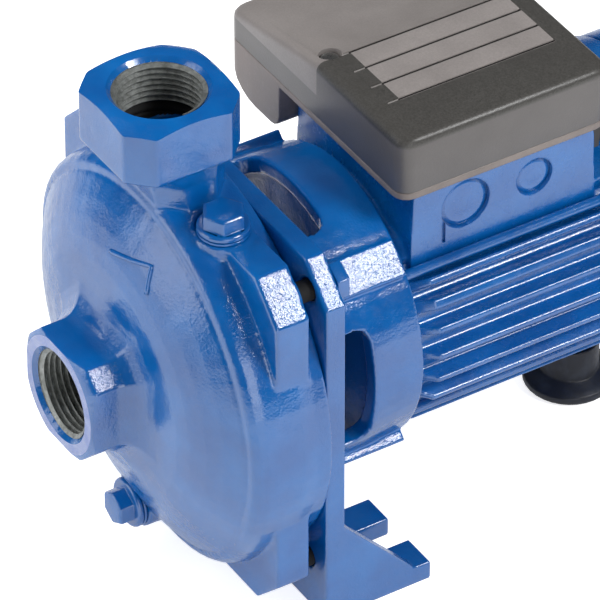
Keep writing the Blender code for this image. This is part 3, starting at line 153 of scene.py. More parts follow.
def enamel(name, grainDepth, swellDepth, **changes):
    look = {**enamelLook, **changes}
    finish = Finish(name)
    swell = finish.noise(look["swellSize"], detail=1.5)
    grain = finish.noise(look["grainSize"], detail=3.0, rough=0.62)
    crumbs = finish.cells(look["grainSize"] * look["crumbScale"])
    cloud = finish.ramp(finish.noise(look["cloudSize"], detail=3.0), low=0.35, high=0.68)
    dull = finish.noise(look["dullSize"], detail=3.0)
    relief = finish.bump(swell, swellDepth)
    crust = grain * (1 - look["crumbShare"]) + crumbs * look["crumbShare"]
    relief = finish.bump(crust, grainDepth, relief)
    return finish.surface({
        "Base Color": finish.blend(cloud, look["deep"], look["thin"]),
        "Roughness": finish.ramp(dull, 0.30, 0.75, *look["roughness"]), "IOR": look["ior"],
        "Normal": relief})


# Suction face: fine rings from the lathe, with thin paint over part of them; worn patches and rings turn
# pale lilac, partly bare metal and partly painted reflection

turnedLook = {"paint": (0.16, 0.24, 0.56, 1), "wornSheenTone": (0.42, 0.47, 0.66, 1), "ringPitch": 0.0005,
              "ringDepth": 0.00002, "ringShare": 0.25, "wearSize": 0.004, "wearShare": 0.6, "metal": 0.5,
              "roughness": (0.26, 0.38), "ior": 1.7}


def turnedFace(name, middleX, middleZ, look=turnedLook):
    finish = Finish(name)
    u, _, w = finish.axes()
    radius = ((u - middleX) ** 2.0 + (w - middleZ) ** 2.0) ** 0.5
    rings = (radius * (2 * pi / look["ringPitch"])).sine() * 0.5 + 0.5
    wear = finish.ramp(finish.noise(look["wearSize"], detail=4.0, rough=0.7), low=0.38, high=0.62)
    # painted reflection: the pale lilac of the worn patches and rings stands for the lamps mirrored in the
    # face
    wearAndSheen = wear * look["wearShare"] + rings * look["ringShare"]
    return finish.surface({
        "Base Color": finish.blend(wearAndSheen, look["paint"], look["wornSheenTone"]),
        "Metallic": wear * look["metal"], "Roughness": finish.ramp(rings, 0.0, 1.0, *look["roughness"]),
        "IOR": look["ior"], "Normal": finish.bump(rings, look["ringDepth"])})


# Bare iron in the threads, turned steel on the shaft

ironLook = {"toolSize": 0.0022, "speckSize": 0.0006, "speckDepth": 0.00004, "roughness": (0.28, 0.52)}


def bareIron(name, dark, light, metal, look=ironLook):
    finish = Finish(name)
    tool = finish.noise(look["toolSize"], detail=4.0, rough=0.7)
    speck = finish.noise(look["speckSize"])
    return finish.surface({
        "Base Color": finish.blend(finish.ramp(tool, low=0.35, high=0.65), dark, light),
        "Metallic": metal, "Roughness": finish.ramp(speck, 0.3, 0.7, *look["roughness"]),
        "Normal": finish.bump(speck, look["speckDepth"])})


# Moulded plastic: leather grain, slow clouds, a little dust

plasticLook = {"grainSize": 0.0007, "grainDepth": 0.00003, "warpSize": 0.02, "warpDepth": 0.0004,
               "cloudSize": 0.012, "darker": 0.86, "lighter": 1.12, "dustSize": 0.0016, "dustTone": 1.5,
               "dustLift": 0.004, "dustShare": 0.35, "roughness": (0.36, 0.52), "ior": 1.5}


def shade(tone, scale, lift=0.0):
    return tuple(part * scale + lift for part in tone) + (1,)


def mouldedPlastic(name, tone, **changes):
    look = {**plasticLook, **changes}
    finish = Finish(name)
    grain = finish.cells(look["grainSize"])
    cloud = finish.ramp(finish.noise(look["cloudSize"], detail=3.0), low=0.35, high=0.65)
    dust = finish.ramp(finish.noise(look["dustSize"], detail=4.0, rough=0.75), low=0.56, high=0.70)
    clean = finish.blend(cloud, shade(tone, look["darker"]), shade(tone, look["lighter"]))
    colour = finish.blend(dust * look["dustShare"], clean, shade(tone, look["dustTone"], look["dustLift"]))
    warp = finish.bump(finish.noise(look["warpSize"], detail=1.0), look["warpDepth"])
    return finish.surface({
        "Base Color": colour, "Roughness": finish.ramp(cloud, 0.0, 1.0, *look["roughness"]),
        "IOR": look["ior"], "Normal": finish.bump(grain, look["grainDepth"], warp)})


# Lid: pale matt panel between the grooves, darker band round it, grooves dark as painted shade and their
# ends pale; the upper left part paler as painted light

lidLook = {"groove": (0.022, 0.020, 0.020, 1), "tick": (0.42, 0.40, 0.39, 1),
           "band": (0.052, 0.051, 0.047, 1), "panel": (0.300, 0.272, 0.262, 1),
           "wall": (0.130, 0.122, 0.120, 1), "speck": (0.16, 0.15, 0.145, 1), "speckShare": 0.30,
           "speckSize": 0.0007, "speckDepth": 0.00006, "cloud": (0.05, 0.045, 0.043, 1),
           "cloudShare": 0.18, "cloudSize": 0.015, "litLeftShare": 0.8, "litLeftHeight": 0.012,
           "sideMargin": 0.002, "tickLength": 0.006, "floorRoom": 0.0008, "edgeDrop": (0.0025, 0.0012),
           "roughness": (0.34, 0.52), "ior": 1.5}


def lidPlastic(name, panelLow, panelHigh, topZ, grooveZ, look=lidLook):
    finish = Finish(name)
    u, v, w = finish.axes()
    across = (u > panelLow.x) * (u < panelHigh.x) * (v > panelLow.y) * (v < panelHigh.y) * (w > topZ)
    # painted light: the upper left part of the lid is made paler where the light falls
    litLeft = (u < panelLow.x) * (w > topZ - look["litLeftHeight"])
    speck = finish.noise(look["speckSize"], detail=3.0, rough=0.7)
    cloud = finish.ramp(finish.noise(look["cloudSize"], detail=3.0), low=0.3, high=0.7)
    flat = ((u > panelLow.x - look["sideMargin"]) * (u < panelHigh.x + look["sideMargin"]) *
            (v > panelLow.y - look["tickLength"]) * (v < panelHigh.y))
    sunk = flat * (w < grooveZ) * (w > grooveZ - look["floorRoom"])
    top = finish.ramp(w, topZ - look["edgeDrop"][0], topZ - look["edgeDrop"][1])
    body = finish.blend(top, look["wall"], look["band"])
    body = finish.blend(across + litLeft * look["litLeftShare"], body, look["panel"])
    # painted shade: the groove floors are near black
    body = finish.blend(sunk, body, finish.blend(v < panelLow.y, look["groove"], look["tick"]))
    specks = finish.ramp(speck, low=0.35, high=0.65) * look["speckShare"] * (1 - sunk)
    mottled = finish.blend(specks, body, look["speck"])
    return finish.surface({
        "Base Color": finish.blend(cloud * look["cloudShare"], mottled, look["cloud"]),
        "Roughness": finish.ramp(across * 0.6 + speck * 0.4, 0.2, 0.8, *look["roughness"]),
        "IOR": look["ior"], "Normal": finish.bump(speck, look["speckDepth"])})


# Zinc on the lid screws

zincLook = {"fresh": (0.60, 0.61, 0.62, 1), "dull": (0.36, 0.34, 0.30, 1), "dullShare": 0.5,
            "spangleSize": 0.0014, "spangleDepth": 0.00003, "tarnishSize": 0.006, "metal": 0.95,
            "roughness": (0.22, 0.40)}


def zincPlate(name, look=zincLook):
    finish = Finish(name)
    spangle = finish.noise(look["spangleSize"], detail=3.0, rough=0.6)
    tarnish = finish.ramp(finish.noise(look["tarnishSize"], detail=3.0), low=0.45, high=0.75)
    return finish.surface({
        "Base Color": finish.blend(tarnish * look["dullShare"], look["fresh"], look["dull"]),
        "Metallic": look["metal"], "Roughness": finish.ramp(spangle, 0.3, 0.7, *look["roughness"]),
        "Normal": finish.bump(spangle, look["spangleDepth"])})


# Rubber of the rear foot and the slinger

rubberLook = {"black": (0.008, 0.010, 0.017, 1), "bloom": (0.024, 0.030, 0.045, 1), "bloomSize": 0.008,
              "skinSize": 0.0016, "skinDepth": 0.00006, "roughness": (0.34, 0.50), "ior": 1.45}


def blackRubber(name, look=rubberLook):
    finish = Finish(name)
    skin = finish.noise(look["skinSize"], detail=3.0, rough=0.6)
    bloom = finish.ramp(finish.noise(look["bloomSize"], detail=3.0), low=0.45, high=0.75)
    return finish.surface({
        "Base Color": finish.blend(bloom, look["black"], look["bloom"]),
        "Roughness": finish.ramp(skin, 0.3, 0.7, *look["roughness"]), "IOR": look["ior"],
        "Normal": finish.bump(skin, look["skinDepth"])})


finishes = {
    "castEnamel": enamel("castEnamel", grainDepth=0.00014, swellDepth=0.0004),
    "facetEnamel": enamel("facetEnamel", grainDepth=0.00030, swellDepth=0.0001, roughness=(0.10, 0.18)),
    "frameEnamel": enamel("frameEnamel", grainDepth=0.00007, swellDepth=0.0003, roughness=(0.20, 0.32)),
    "smallEnamel": enamel("smallEnamel", grainDepth=0.00009, swellDepth=0.0002),
    "portEnamel": enamel("portEnamel", grainDepth=0.00003, swellDepth=0.0001),
    "suctionFace": turnedFace("suctionFace", middleX=0.0, middleZ=shaftZ),
    "threadIron": bareIron("threadIron", dark=(0.19, 0.20, 0.19, 1), light=(0.38, 0.40, 0.39, 1),
                           metal=0.6),
    "turnedSteel": bareIron("turnedSteel", dark=(0.22, 0.22, 0.23, 1), light=(0.60, 0.60, 0.60, 1),
                            metal=0.92),
    # painted shade: near black for the deep bores, the bolt shanks in the gap and the seal plate inside
    # the lantern
    "paintedShade": mouldedPlastic("paintedShade", tone=(0.004, 0.004, 0.005), roughness=(0.70, 0.85)),
    "trayPlastic": mouldedPlastic("trayPlastic", tone=(0.225, 0.192, 0.180)),
    "blackPlastic": mouldedPlastic("blackPlastic", tone=(0.028, 0.028, 0.030)),
    "zincPlate": zincPlate("zincPlate"),
    "blackRubber": blackRubber("blackRubber"),
}
print("finishes made")


# Shaping helpers

mergeDistance = 0.00001
spunMerge = 0.000001
spinSteps = 96
flowFactor = 0.5  # share of each softening pass over a casting
flatAngle = radians(0.8)  # faces closer than this to one plane are joined before a bevel
softLook = {"bevelFrom": 28, "sharpAngle": 40}  # degrees
facetSlant = 0.62  # both parts of the normal of a face that mirrors the key lamp to the camera


def linked(name, data):
    made = bpy.data.objects.new(name, data)
    bpy.context.scene.collection.objects.link(made)
    return made


def piece(name, bm, finishNames):
    mesh = bpy.data.meshes.new(name)
    bm.to_mesh(mesh)
    bm.free()
    for finishName in finishNames:
        mesh.materials.append(finishes[finishName])
    made = linked(name, mesh)
    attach(made, root)
    return made


def mergedNode(node):
    bm = bmesh.new()
    bm.from_mesh(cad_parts[node].data)
    bmesh.ops.remove_doubles(bm, verts=bm.verts, dist=mergeDistance)
    for face in bm.faces:
        face.material_index = 0
    return bm


def smoothShade(made, sharpAngle=None):
    made.data.shade_smooth()
    if sharpAngle is not None:
        made.data.set_sharp_from_angle(angle=radians(sharpAngle))


def settle(made):  # applies the modifiers to the mesh
    graph = bpy.context.evaluated_depsgraph_get()
    mesh = bpy.data.meshes.new_from_object(made.evaluated_get(graph))
    mesh.name = made.name
    old = made.data
    made.modifiers.clear()
    made.data = mesh
    bpy.data.meshes.remove(old)
    smoothShade(made)


def spunSolid(profile, axis, middle):
    bm = bmesh.new()
    lift = {"Y": lambda r, t: (r, t, 0.0), "Z": lambda r, t: (r, 0.0, t)}[axis]
    verts = [bm.verts.new(Vector(middle) + Vector(lift(r, t))) for r, t in profile]
    edges = [bm.edges.new(pair) for pair in zip(verts, verts[1:])]
    along = {"Y": (0, 1, 0), "Z": (0, 0, 1)}[axis]
    bmesh.ops.spin(bm, geom=verts + edges, cent=middle, axis=along, angle=2 * pi, steps=spinSteps,
                   use_merge=True)
    bmesh.ops.remove_doubles(bm, verts=bm.verts, dist=spunMerge)
    bmesh.ops.recalc_face_normals(bm, faces=bm.faces)
    return bm


def boxCutter(low, high):
    bm = bmesh.new()
    bmesh.ops.create_cube(bm, size=1.0)
    bmesh.ops.scale(bm, vec=Vector(high) - Vector(low), verts=bm.verts)
    bmesh.ops.translate(bm, vec=(Vector(high) + Vector(low)) / 2, verts=bm.verts)
    return bm


def carve(made, cutter):
    mesh = bpy.data.meshes.new("cutter")
    cutter.to_mesh(mesh)
    cutter.free()
    tool = linked("cutter", mesh)
    cut = made.modifiers.new("cut", "BOOLEAN")
    cut.operation = "DIFFERENCE"
    cut.solver = "MANIFOLD"
    cut.object = tool
    settle(made)
    bpy.data.objects.remove(tool)
    bpy.data.meshes.remove(mesh)


def castForm(name, node, look, finishNames):  # one skin over the solid, with its edges softened
    made = piece(name, mergedNode(node), finishNames)
    skin = made.modifiers.new("skin", "REMESH")
    skin.mode = "VOXEL"
    skin.voxel_size = look["voxel"]
    flow = made.modifiers.new("flow", "SMOOTH")
    flow.factor = flowFactor
    flow.iterations = look["flow"]
    settle(made)
    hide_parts(node)
    return made


def thin(made, triangles):
    less = made.modifiers.new("less", "DECIMATE")
    less.ratio = triangles / sum(len(face.vertices) - 2 for face in made.data.polygons)
    settle(made)


def paintWhere(made, index, test):
    for face in made.data.polygons:
        if test(face.center, face.normal):
            face.material_index = index


def facesSoftbox(at, normal):
    return normal.x > facetSlant and normal.z > facetSlant


def bevelEdges(bm, edges, width, segments):
    bmesh.ops.bevel(bm, geom=edges, offset=width, offset_type="OFFSET", segments=segments, profile=0.5,
                    affect="EDGES", clamp_overlap=True, material=-1)


def softNode(name, node, finishName, width, segments=3, look=softLook):
    bm = mergedNode(node)
    bmesh.ops.dissolve_limit(bm, angle_limit=flatAngle, verts=bm.verts, edges=bm.edges)
    edges = [edge for edge in bm.edges if len(edge.link_faces) == 2 and
             edge.calc_face_angle(0.0) > radians(look["bevelFrom"])]
    bevelEdges(bm, edges, width, segments)
    made = piece(name, bm, [finishName])
    smoothShade(made, look["sharpAngle"])
    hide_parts(node)
    return made


# Pump casing: one casting, then its two ports are machined

casingFinishes = ["castEnamel", "suctionFace", "portEnamel", "threadIron", "paintedShade", "facetEnamel"]
casingLook = {"voxel": 0.0007, "flow": 6, "triangles": 190000, "sharpAngle": 42, "faceSkim": 0.0003,
              "boreSkim": 0.00015, "cutterRadius": 0.034, "cutterOver": 0.004, "crownSlope": 0.42,
              "threadRadius": 0.01662, "chamfer": 0.0016, "threadLength": 0.018, "boreRadius": 0.0145,
              "runOut": 0.002, "floorLeft": 0.001, "suctionFaceRadius": 0.0225, "suctionDepth": 0.040,
              "dischargeFaceRadius": 0.0222, "dischargeDepth": 0.022, "dischargeFromFront": 0.0435,
              "flatNormal": 0.97, "paintRoom": 0.0004,
              "boltOffset": 0.0600, "boltRoom": 0.0068, "flangeRear": 0.0598, "casingRear": 0.0680}
suction = (0.0, suctionY, shaftZ)
discharge = (0.0, suctionY + casingLook["dischargeFromFront"], dischargeTop)


def portCutter(axis, middle, inward, faceRadius, depth, look=casingLook):
    wide = look["cutterRadius"]
    mouth = look["threadRadius"] + look["boreSkim"]
    skim = look["faceSkim"]
    floor = depth - look["floorLeft"]
    profile = [(0.0, -look["cutterOver"]), (wide, -look["cutterOver"]),
               (wide, skim + (wide - faceRadius) * look["crownSlope"]), (faceRadius, skim),
               (mouth + look["chamfer"], skim), (mouth, skim + look["chamfer"]),
               (mouth, look["threadLength"]), (look["boreRadius"], look["threadLength"] + look["runOut"]),
               (look["boreRadius"], floor), (0.0, floor)]
    return spunSolid([(r, t * inward) for r, t in profile], axis, middle)


def makeCasing(look=casingLook):
    made = castForm("pumpCasing", "pump_casing", look, casingFinishes)
    carve(made, portCutter("Y", suction, 1, look["suctionFaceRadius"], look["suctionDepth"]))
    carve(made, portCutter("Z", discharge, -1, look["dischargeFaceRadius"], look["dischargeDepth"]))
    for sideX in (-1, 1):  # behind the flange the bolts stand free
        for sideZ in (-1, 1):
            at = Vector((sideX * look["boltOffset"], suctionY, shaftZ + sideZ * look["boltOffset"]))
            reach = Vector((look["boltRoom"], 0, look["boltRoom"]))
            carve(made, boxCutter(at - reach + Vector((0, look["flangeRear"], 0)),
                                  at + reach + Vector((0, look["casingRear"], 0))))
    thin(made, look["triangles"])
    smoothShade(made, look["sharpAngle"])
    return made


def paintCasing(made, look=casingLook):
    skim = look["faceSkim"]
    rimZ = dischargeTop - skim - look["chamfer"]
    inside = look["threadRadius"] + look["boreSkim"] + look["paintRoom"]
    paint = casingFinishes.index

    def fromShaft(at):
        return sqrt(at.x ** 2 + (at.z - shaftZ) ** 2)

    def fromDischarge(at):
        return sqrt(at.x ** 2 + (at.y - discharge[1]) ** 2)

    paintWhere(made, paint("facetEnamel"), facesSoftbox)
    paintWhere(made, paint("suctionFace"), lambda at, normal: normal.y < -look["flatNormal"] and
               at.y < suctionY + skim * 2)
    paintWhere(made, paint("portEnamel"), lambda at, normal: at.z > rimZ and
               fromDischarge(at) < look["dischargeFaceRadius"])
    # past the thread the bores get the near-black painted shade
    for depth, index in ((skim + look["chamfer"], paint("threadIron")),
                         (look["threadLength"] - look["runOut"], paint("paintedShade"))):
        paintWhere(made, index, lambda at, normal: fromShaft(at) < inside and
                   suctionY + depth < at.y < suctionY + look["suctionDepth"])
        paintWhere(made, index, lambda at, normal: fromDischarge(at) < inside and
                   dischargeTop - look["dischargeDepth"] < at.z < dischargeTop - depth)


casing = makeCasing()
paintCasing(casing)
print("casing made")

# Port threads: one tooth profile swept round each port, as shares of the pitch from the first turn

threadLook = {"pitch": 0.002309, "root": 0.0168, "flank": 0.01560, "crest": 0.01525, "start": 0.0012,
              "rootShares": (0.04, 0.96), "flankShares": (0.36, 0.64), "crestShares": (0.46, 0.54),
              "turns": 7.2, "stepsPerTurn": 72, "sharpAngle": 50}


def makeThread(name, axis, middle, inward, look=threadLook):
    pitch = look["pitch"]
    levels = [(look[part], look[part + "Shares"]) for part in ("root", "flank", "crest")]
    shape = [(radius, shares[0]) for radius, shares in levels]
    shape += [(radius, shares[1]) for radius, shares in reversed(levels)]
    bm = bmesh.new()
    verts = []
    for radius, share in shape:
        along = (look["start"] + share * pitch) * inward
        at = Vector((radius, along, 0)) if axis == "Y" else Vector((radius, 0, along))
        verts.append(bm.verts.new(Vector(middle) + at))
    edges = [bm.edges.new((verts[i], verts[(i + 1) % len(verts)])) for i in range(len(verts))]
    direction = Vector((0, 1, 0)) if axis == "Y" else Vector((0, 0, 1))
    bmesh.ops.spin(bm, geom=verts + edges, cent=middle, axis=direction, angle=2 * pi * look["turns"],
                   steps=round(look["stepsPerTurn"] * look["turns"]),
                   dvec=direction * inward * pitch / look["stepsPerTurn"], use_merge=False)
    bmesh.ops.holes_fill(bm, edges=[edge for edge in bm.edges if edge.is_boundary], sides=0)
    bmesh.ops.recalc_face_normals(bm, faces=bm.faces)
    made = piece(name, bm, ["threadIron"])
    smoothShade(made, look["sharpAngle"])


makeThread("suctionThread", "Y", suction, 1)
makeThread("dischargeThread", "Z", discharge, -1)
print("threads cut")

# Cast rotation arrow: a thin bead laid on the dome, its corners given as X and height over the shaft

arrowLook = {"tail": (-0.0005, 0.0545), "tip": (0.0203, 0.0598), "barb": (0.0228, 0.0508),
             "radius": 0.0009, "lift": 0.0001, "step": 0.0015}


def makeArrow(look=arrowLook):
    tree = BVHTree.FromObject(casing, bpy.context.evaluated_depsgraph_get())
    corners = [Vector((x, 0, z)) for x, z in (look["tail"], look["tip"], look["barb"])]
    route = []
    for start, end in zip(corners, corners[1:]):
        count = max(2, round((end - start).length / look["step"]))
        route += [start.lerp(end, i / count) for i in range(count + 1)][(1 if route else 0):]
    curve = bpy.data.curves.new("rotationArrow", "CURVE")
    curve.dimensions = "3D"
    curve.bevel_depth = look["radius"]
    curve.bevel_resolution = 3
    curve.use_fill_caps = True
    line = curve.splines.new("POLY")
    line.points.add(len(route) - 1)
    for point, flat in zip(line.points, route):
        start = Vector((flat.x, suctionY, shaftZ + flat.z))
        hit = tree.ray_cast(start, Vector((0, 1, 0)))[0]
        point.co = (hit.x, hit.y - look["lift"], hit.z, 1)
    bead = linked("rotationArrow", curve)
    mesh = bpy.data.meshes.new_from_object(bead.evaluated_get(bpy.context.evaluated_depsgraph_get()))
    bpy.data.objects.remove(bead)
    bm = bmesh.new()
    bm.from_mesh(mesh)
    bmesh.ops.remove_doubles(bm, verts=bm.verts, dist=spunMerge)
    arrow = piece("rotationArrow", bm, ["castEnamel"])
    smoothShade(arrow)


makeArrow()
print("arrow made")

# Plugs and their washers

softNode("fillingPlug", "filling_plug", "smallEnamel", width=0.0004)
softNode("drainPlug", "drain_plug", "smallEnamel", width=0.0004)
softNode("fillingPlugWasher", "filling_plug_washer", "smallEnamel", width=0.0002,
         segments=2)
softNode("drainPlugWasher", "drain_plug_washer", "smallEnamel", width=0.0002, segments=2)
print("plugs made")

# Lantern bracket, its bolts and what shows through its windows

bracketLook = {"voxel": 0.0007, "flow": 2, "triangles": 190000}
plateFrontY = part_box("motor_bracket")[0].y
bracket = castForm("motorBracket", "motor_bracket", bracketLook, ["castEnamel", "facetEnamel"])
thin(bracket, bracketLook["triangles"])
paintWhere(bracket, 1, facesSoftbox)
for number in (1, 2, 3, 4):
    bolt = softNode("flangeBolt%d" % number, "flange_bolt_%d" % number, "smallEnamel",
                    width=0.0003)
    # painted shade: the shank in the gap gets the near-black finish
    bolt.data.materials.append(finishes["paintedShade"])
    paintWhere(bolt, 1, lambda at, normal: at.y < plateFrontY)  # the shank in the gap is in the dark
# painted shade: the seal plate inside the lantern is near black
softNode("sealPlate", "seal_plate", "paintedShade", width=0.0004)
softNode("pumpShaft", "pump_shaft", "turnedSteel", width=0.0004)
softNode("waterSlinger", "water_slinger", "blackRubber", width=0.0006)
print("bracket made")

# Finned motor frame, with pockets and a short groove for the knockouts in its box

frameLook = {"voxel": 0.0006, "flow": 3, "triangles": 195000, "sharpAngle": 60, "cutterOver": 0.004,
             "pocketDepth": 0.0020, "pocketMargin": 0.0004, "pocketCutter": 0.006,
             "grooveWidth": 0.0013, "grooveDepth": 0.0009, "grooveBelow": 0.004}
discLook = {"thickness": 0.0007, "taper": 0.0016, "middleX": 0.0006, "rim": 0.25, "step": 0.12,
            "stepDepth": 0.0002, "sharpAngle": 25}
roundSegments = 64
motorFrame = castForm("motorFrame", "motor_frame", frameLook, ["frameEnamel"])


def layOnWall(bm, place):  # turns a disc that was made flat to face +X
    bmesh.ops.rotate(bm, verts=bm.verts, matrix=Matrix.Rotation(pi / 2, 3, "Y"))
    bmesh.ops.translate(bm, verts=bm.verts, vec=place)


def cutPockets(look=frameLook):
    for node in ("knockout_large", "knockout_small"):
        low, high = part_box(node)
        middle = (low + high) / 2
        radius = (high.z - low.z) / 2 + look["pocketMargin"]
        inner = high.x - look["pocketDepth"]
        bm = bmesh.new()
        bmesh.ops.create_cone(bm, cap_ends=True, segments=roundSegments, radius1=radius, radius2=radius,
                              depth=look["pocketCutter"])
        layOnWall(bm, (inner + look["pocketCutter"] / 2, middle.y, middle.z))
        carve(motorFrame, bm)
    low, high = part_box("knockout_large")
    grooveLow = (high.x - look["grooveDepth"], low.y - look["pocketMargin"], low.z - look["grooveBelow"])
    grooveHigh = (high.x + look["cutterOver"], low.y + look["grooveWidth"], (low.z + high.z) / 2)
    carve(motorFrame, boxCutter(grooveLow, grooveHigh))


def makeKnockout(name, node, look=discLook):
    low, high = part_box(node)
    radius = (high.z - low.z) / 2
    bm = bmesh.new()
    bmesh.ops.create_cone(bm, cap_ends=True, segments=roundSegments, radius1=radius,
                          radius2=radius - look["taper"], depth=look["thickness"])
    face = max(bm.faces, key=lambda face: face.calc_center_median().z)
    bmesh.ops.inset_region(bm, faces=[face], thickness=radius * look["rim"], depth=-look["stepDepth"])
    bmesh.ops.inset_region(bm, faces=[face], thickness=radius * look["step"], depth=look["stepDepth"])
    layOnWall(bm, (high.x - frameLook["pocketDepth"] + look["middleX"], (low.y + high.y) / 2,
                   (low.z + high.z) / 2))
    made = piece(name, bm, ["frameEnamel"])
    smoothShade(made, look["sharpAngle"])
    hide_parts(node)


thin(motorFrame, frameLook["triangles"])  # before the pockets, so that their edges stay crisp
cutPockets()
smoothShade(motorFrame, frameLook["sharpAngle"])
makeKnockout("knockoutLarge", "knockout_large")
makeKnockout("knockoutSmall", "knockout_small")
print("motor frame made")

# Terminal box: tray, and a lid with four long grooves

softNode("boxTray", "terminal_box_tray", "trayPlastic", width=0.0006)
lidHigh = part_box("terminal_box_lid")[1]
lidGrooves = {"xs": (-0.0160, -0.0054, 0.0056, 0.0164), "width": 0.0013, "depth": 0.0010, "start": 0.056,
              "panelFront": 0.061, "panelPast": 0.0008, "rearBand": 0.009, "panelDrop": 0.0016,
              "grooveDrop": 0.0005, "cutterOver": 0.002, "bevel": 0.0003, "bevelSegments": 2}
finishes["lidPlastic"] = lidPlastic(
    "lidPlastic", Vector((lidGrooves["xs"][0], lidGrooves["panelFront"], 0)),
    Vector((lidGrooves["xs"][-1] + lidGrooves["panelPast"], lidHigh.y - lidGrooves["rearBand"], 0)),
    lidHigh.z - lidGrooves["panelDrop"], lidHigh.z - lidGrooves["grooveDrop"])


def makeLid(look=lidGrooves):
    made = piece("boxLid", mergedNode("terminal_box_lid"), ["lidPlastic"])
    rear = lidHigh.y - look["rearBand"]
    for x in look["xs"]:
        carve(made, boxCutter((x - look["width"] / 2, look["start"], lidHigh.z - look["depth"]),
                              (x + look["width"] / 2, rear, lidHigh.z + look["cutterOver"])))
    bm = bmesh.new()
    bm.from_mesh(made.data)
    bmesh.ops.remove_doubles(bm, verts=bm.verts, dist=mergeDistance)
    bmesh.ops.dissolve_limit(bm, angle_limit=flatAngle, verts=bm.verts, edges=bm.edges)
    edges = [edge for edge in bm.edges if edge.calc_face_angle(0.0) > radians(softLook["bevelFrom"])]
    bevelEdges(bm, edges, look["bevel"], look["bevelSegments"])
    bm.to_mesh(made.data)
    bm.free()
    smoothShade(made, softLook["sharpAngle"])
    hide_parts("terminal_box_lid")


makeLid()
softNode("lidScrew1", "lid_screw_1", "zincPlate", width=0.0003)
softNode("lidScrew2", "lid_screw_2", "zincPlate", width=0.0003)
softNode("cableGland", "cable_gland", "blackPlastic", width=0.0004)
print("terminal box made")

# Rear of the motor

softNode("rearShield", "rear_shield", "frameEnamel", width=0.0006)
softNode("fanCover", "fan_cover", "smallEnamel", width=0.0003, segments=2)
softNode("coolingFan", "cooling_fan", "blackPlastic", width=0.0004, segments=2)
softNode("rearFoot", "rear_foot", "blackRubber", width=0.0006)
for number in (1, 2, 3, 4):
    softNode("tieRod%d" % number, "tie_rod_%d" % number, "smallEnamel", width=0.0002,
             segments=2)
print("motor rear made")

# Studio: white floor, dim world, five lamps; the soft lamps don't mirror in the enamel

studioLook = {"floorSize": 2.6, "floorTone": 0.9, "floorShown": 0.75, "floorMirrored": 0.30,
              "worldDiffuse": 0.32, "worldGloss": 0.03, "worldShown": 1.0, "target": (0, 0.03, 0.09)}
lampLook = {
    "key": {"toward": (0.62, 0.41, 0.66), "distance": 1.3, "size": 0.36, "power": 9.0},
    "front": {"toward": (-0.30, -0.90, 0.30), "distance": 1.6, "size": 1.1, "power": 7.0},
    "side": {"toward": (0.95, -0.25, 0.22), "distance": 1.6, "size": 0.9, "power": 5.2},
    "table": {"toward": (-0.45, -0.40, 0.80), "distance": 0.6, "size": 0.4, "power": 1.7, "soft": True},
    "fill": {"toward": (-0.85, 0.40, 0.35), "distance": 1.6, "size": 1.2, "power": 4.5, "soft": True},
}
cameraLook = {"place": (1.5411, -0.9326, 1.5280), "azimuth": 58.0, "elevation": 38.5, "lens": 390.0,
              "sensor": 36.0, "near": 0.05, "far": 50.0}


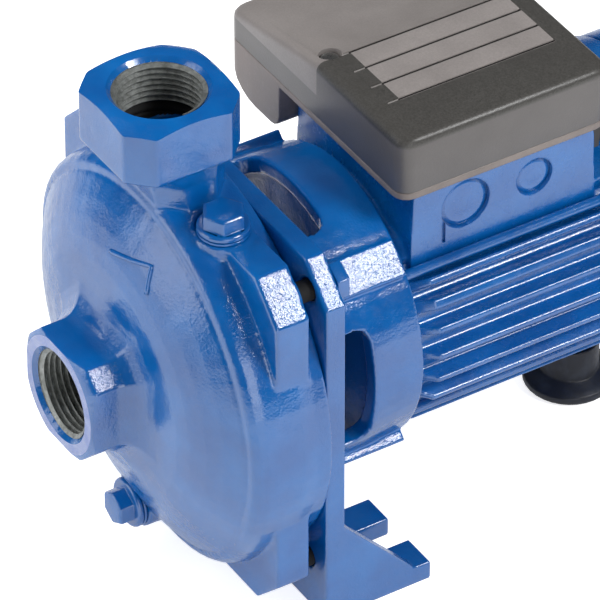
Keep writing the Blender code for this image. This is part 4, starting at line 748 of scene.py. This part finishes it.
def makeFloor(look=studioLook):
    bm = bmesh.new()
    bmesh.ops.create_grid(bm, x_segments=2, y_segments=2, size=look["floorSize"] / 2)
    mesh = bpy.data.meshes.new("floor")
    bm.to_mesh(mesh)
    bm.free()
    floor = linked("floor", mesh)
    finish = Finish("paleFloor")
    outputs = finish.node("LightPath", {}, {}).socket.node.outputs
    mirror = Wire(finish, outputs["Is Glossy Ray"]).atLeast(Wire(finish, outputs["Is Transmission Ray"]))
    camera = Wire(finish, outputs["Is Camera Ray"])
    plain = {"Base Color": (look["floorTone"],) * 3 + (1,), "Roughness": 1.0, "Specular IOR Level": 0.0,
             "Emission Color": (1, 1, 1, 1)}
    lit, mirrored, shown = (finish.node("BsdfPrincipled", {}, {**plain, "Emission Strength": glow})
                            for glow in (0.0, look["floorMirrored"], look["floorShown"]))
    reflected = finish.node("MixShader", {}, {0: mirror, 1: lit, 2: mirrored})
    seen = finish.node("MixShader", {}, {0: camera, 1: reflected, 2: shown})
    finish.node("OutputMaterial", {}, {0: seen}, None)
    mesh.materials.append(finish.material)


def makeWorld(look=studioLook):
    world = bpy.data.worlds.new("studio")
    bpy.context.scene.world = world
    world.use_nodes = True
    tree = world.node_tree
    tree.nodes.clear()
    path = tree.nodes.new("ShaderNodeLightPath")
    skies = []
    for level in (look["worldDiffuse"], look["worldGloss"], look["worldShown"]):
        skies.append(tree.nodes.new("ShaderNodeBackground"))
        skies[-1].inputs["Color"].default_value = (1, 1, 1, 1)
        skies[-1].inputs["Strength"].default_value = level
    below = skies[0].outputs[0]
    for ray, sky in (("Is Glossy Ray", skies[1]), ("Is Camera Ray", skies[2])):
        mix = tree.nodes.new("ShaderNodeMixShader")
        tree.links.new(path.outputs[ray], mix.inputs[0])
        tree.links.new(below, mix.inputs[1])
        tree.links.new(sky.outputs[0], mix.inputs[2])
        below = mix.outputs[0]
    end = tree.nodes.new("ShaderNodeOutputWorld")
    tree.links.new(below, end.inputs[0])


def makeLamps():
    for name, lamp in lampLook.items():
        light = bpy.data.lights.new(name, "AREA")
        light.size = lamp["size"]
        light.energy = lamp["power"]
        holder = linked(name, light)
        toward = Vector(lamp["toward"]).normalized()
        holder.location = Vector(studioLook["target"]) + toward * lamp["distance"]
        holder.rotation_euler = (-toward).to_track_quat("-Z", "Y").to_euler()
        holder.visible_glossy = not lamp.get("soft", False)


def makeCamera(look=cameraLook):
    data = bpy.data.cameras.new("photoCamera")
    data.lens = look["lens"]
    data.sensor_width = look["sensor"]
    data.clip_start = look["near"]
    data.clip_end = look["far"]
    camera = linked("photoCamera", data)
    turn = radians(look["azimuth"])
    rise = radians(look["elevation"])
    back = Vector((sin(turn) * cos(rise), -cos(turn) * cos(rise), sin(rise)))
    camera.location = look["place"]
    camera.rotation_euler = (-back).to_track_quat("-Z", "Y").to_euler()
    bpy.context.scene.camera = camera


makeFloor()
makeWorld()
makeLamps()
makeCamera()
bpy.context.scene.view_settings.view_transform = "Standard"
print("studio ready")
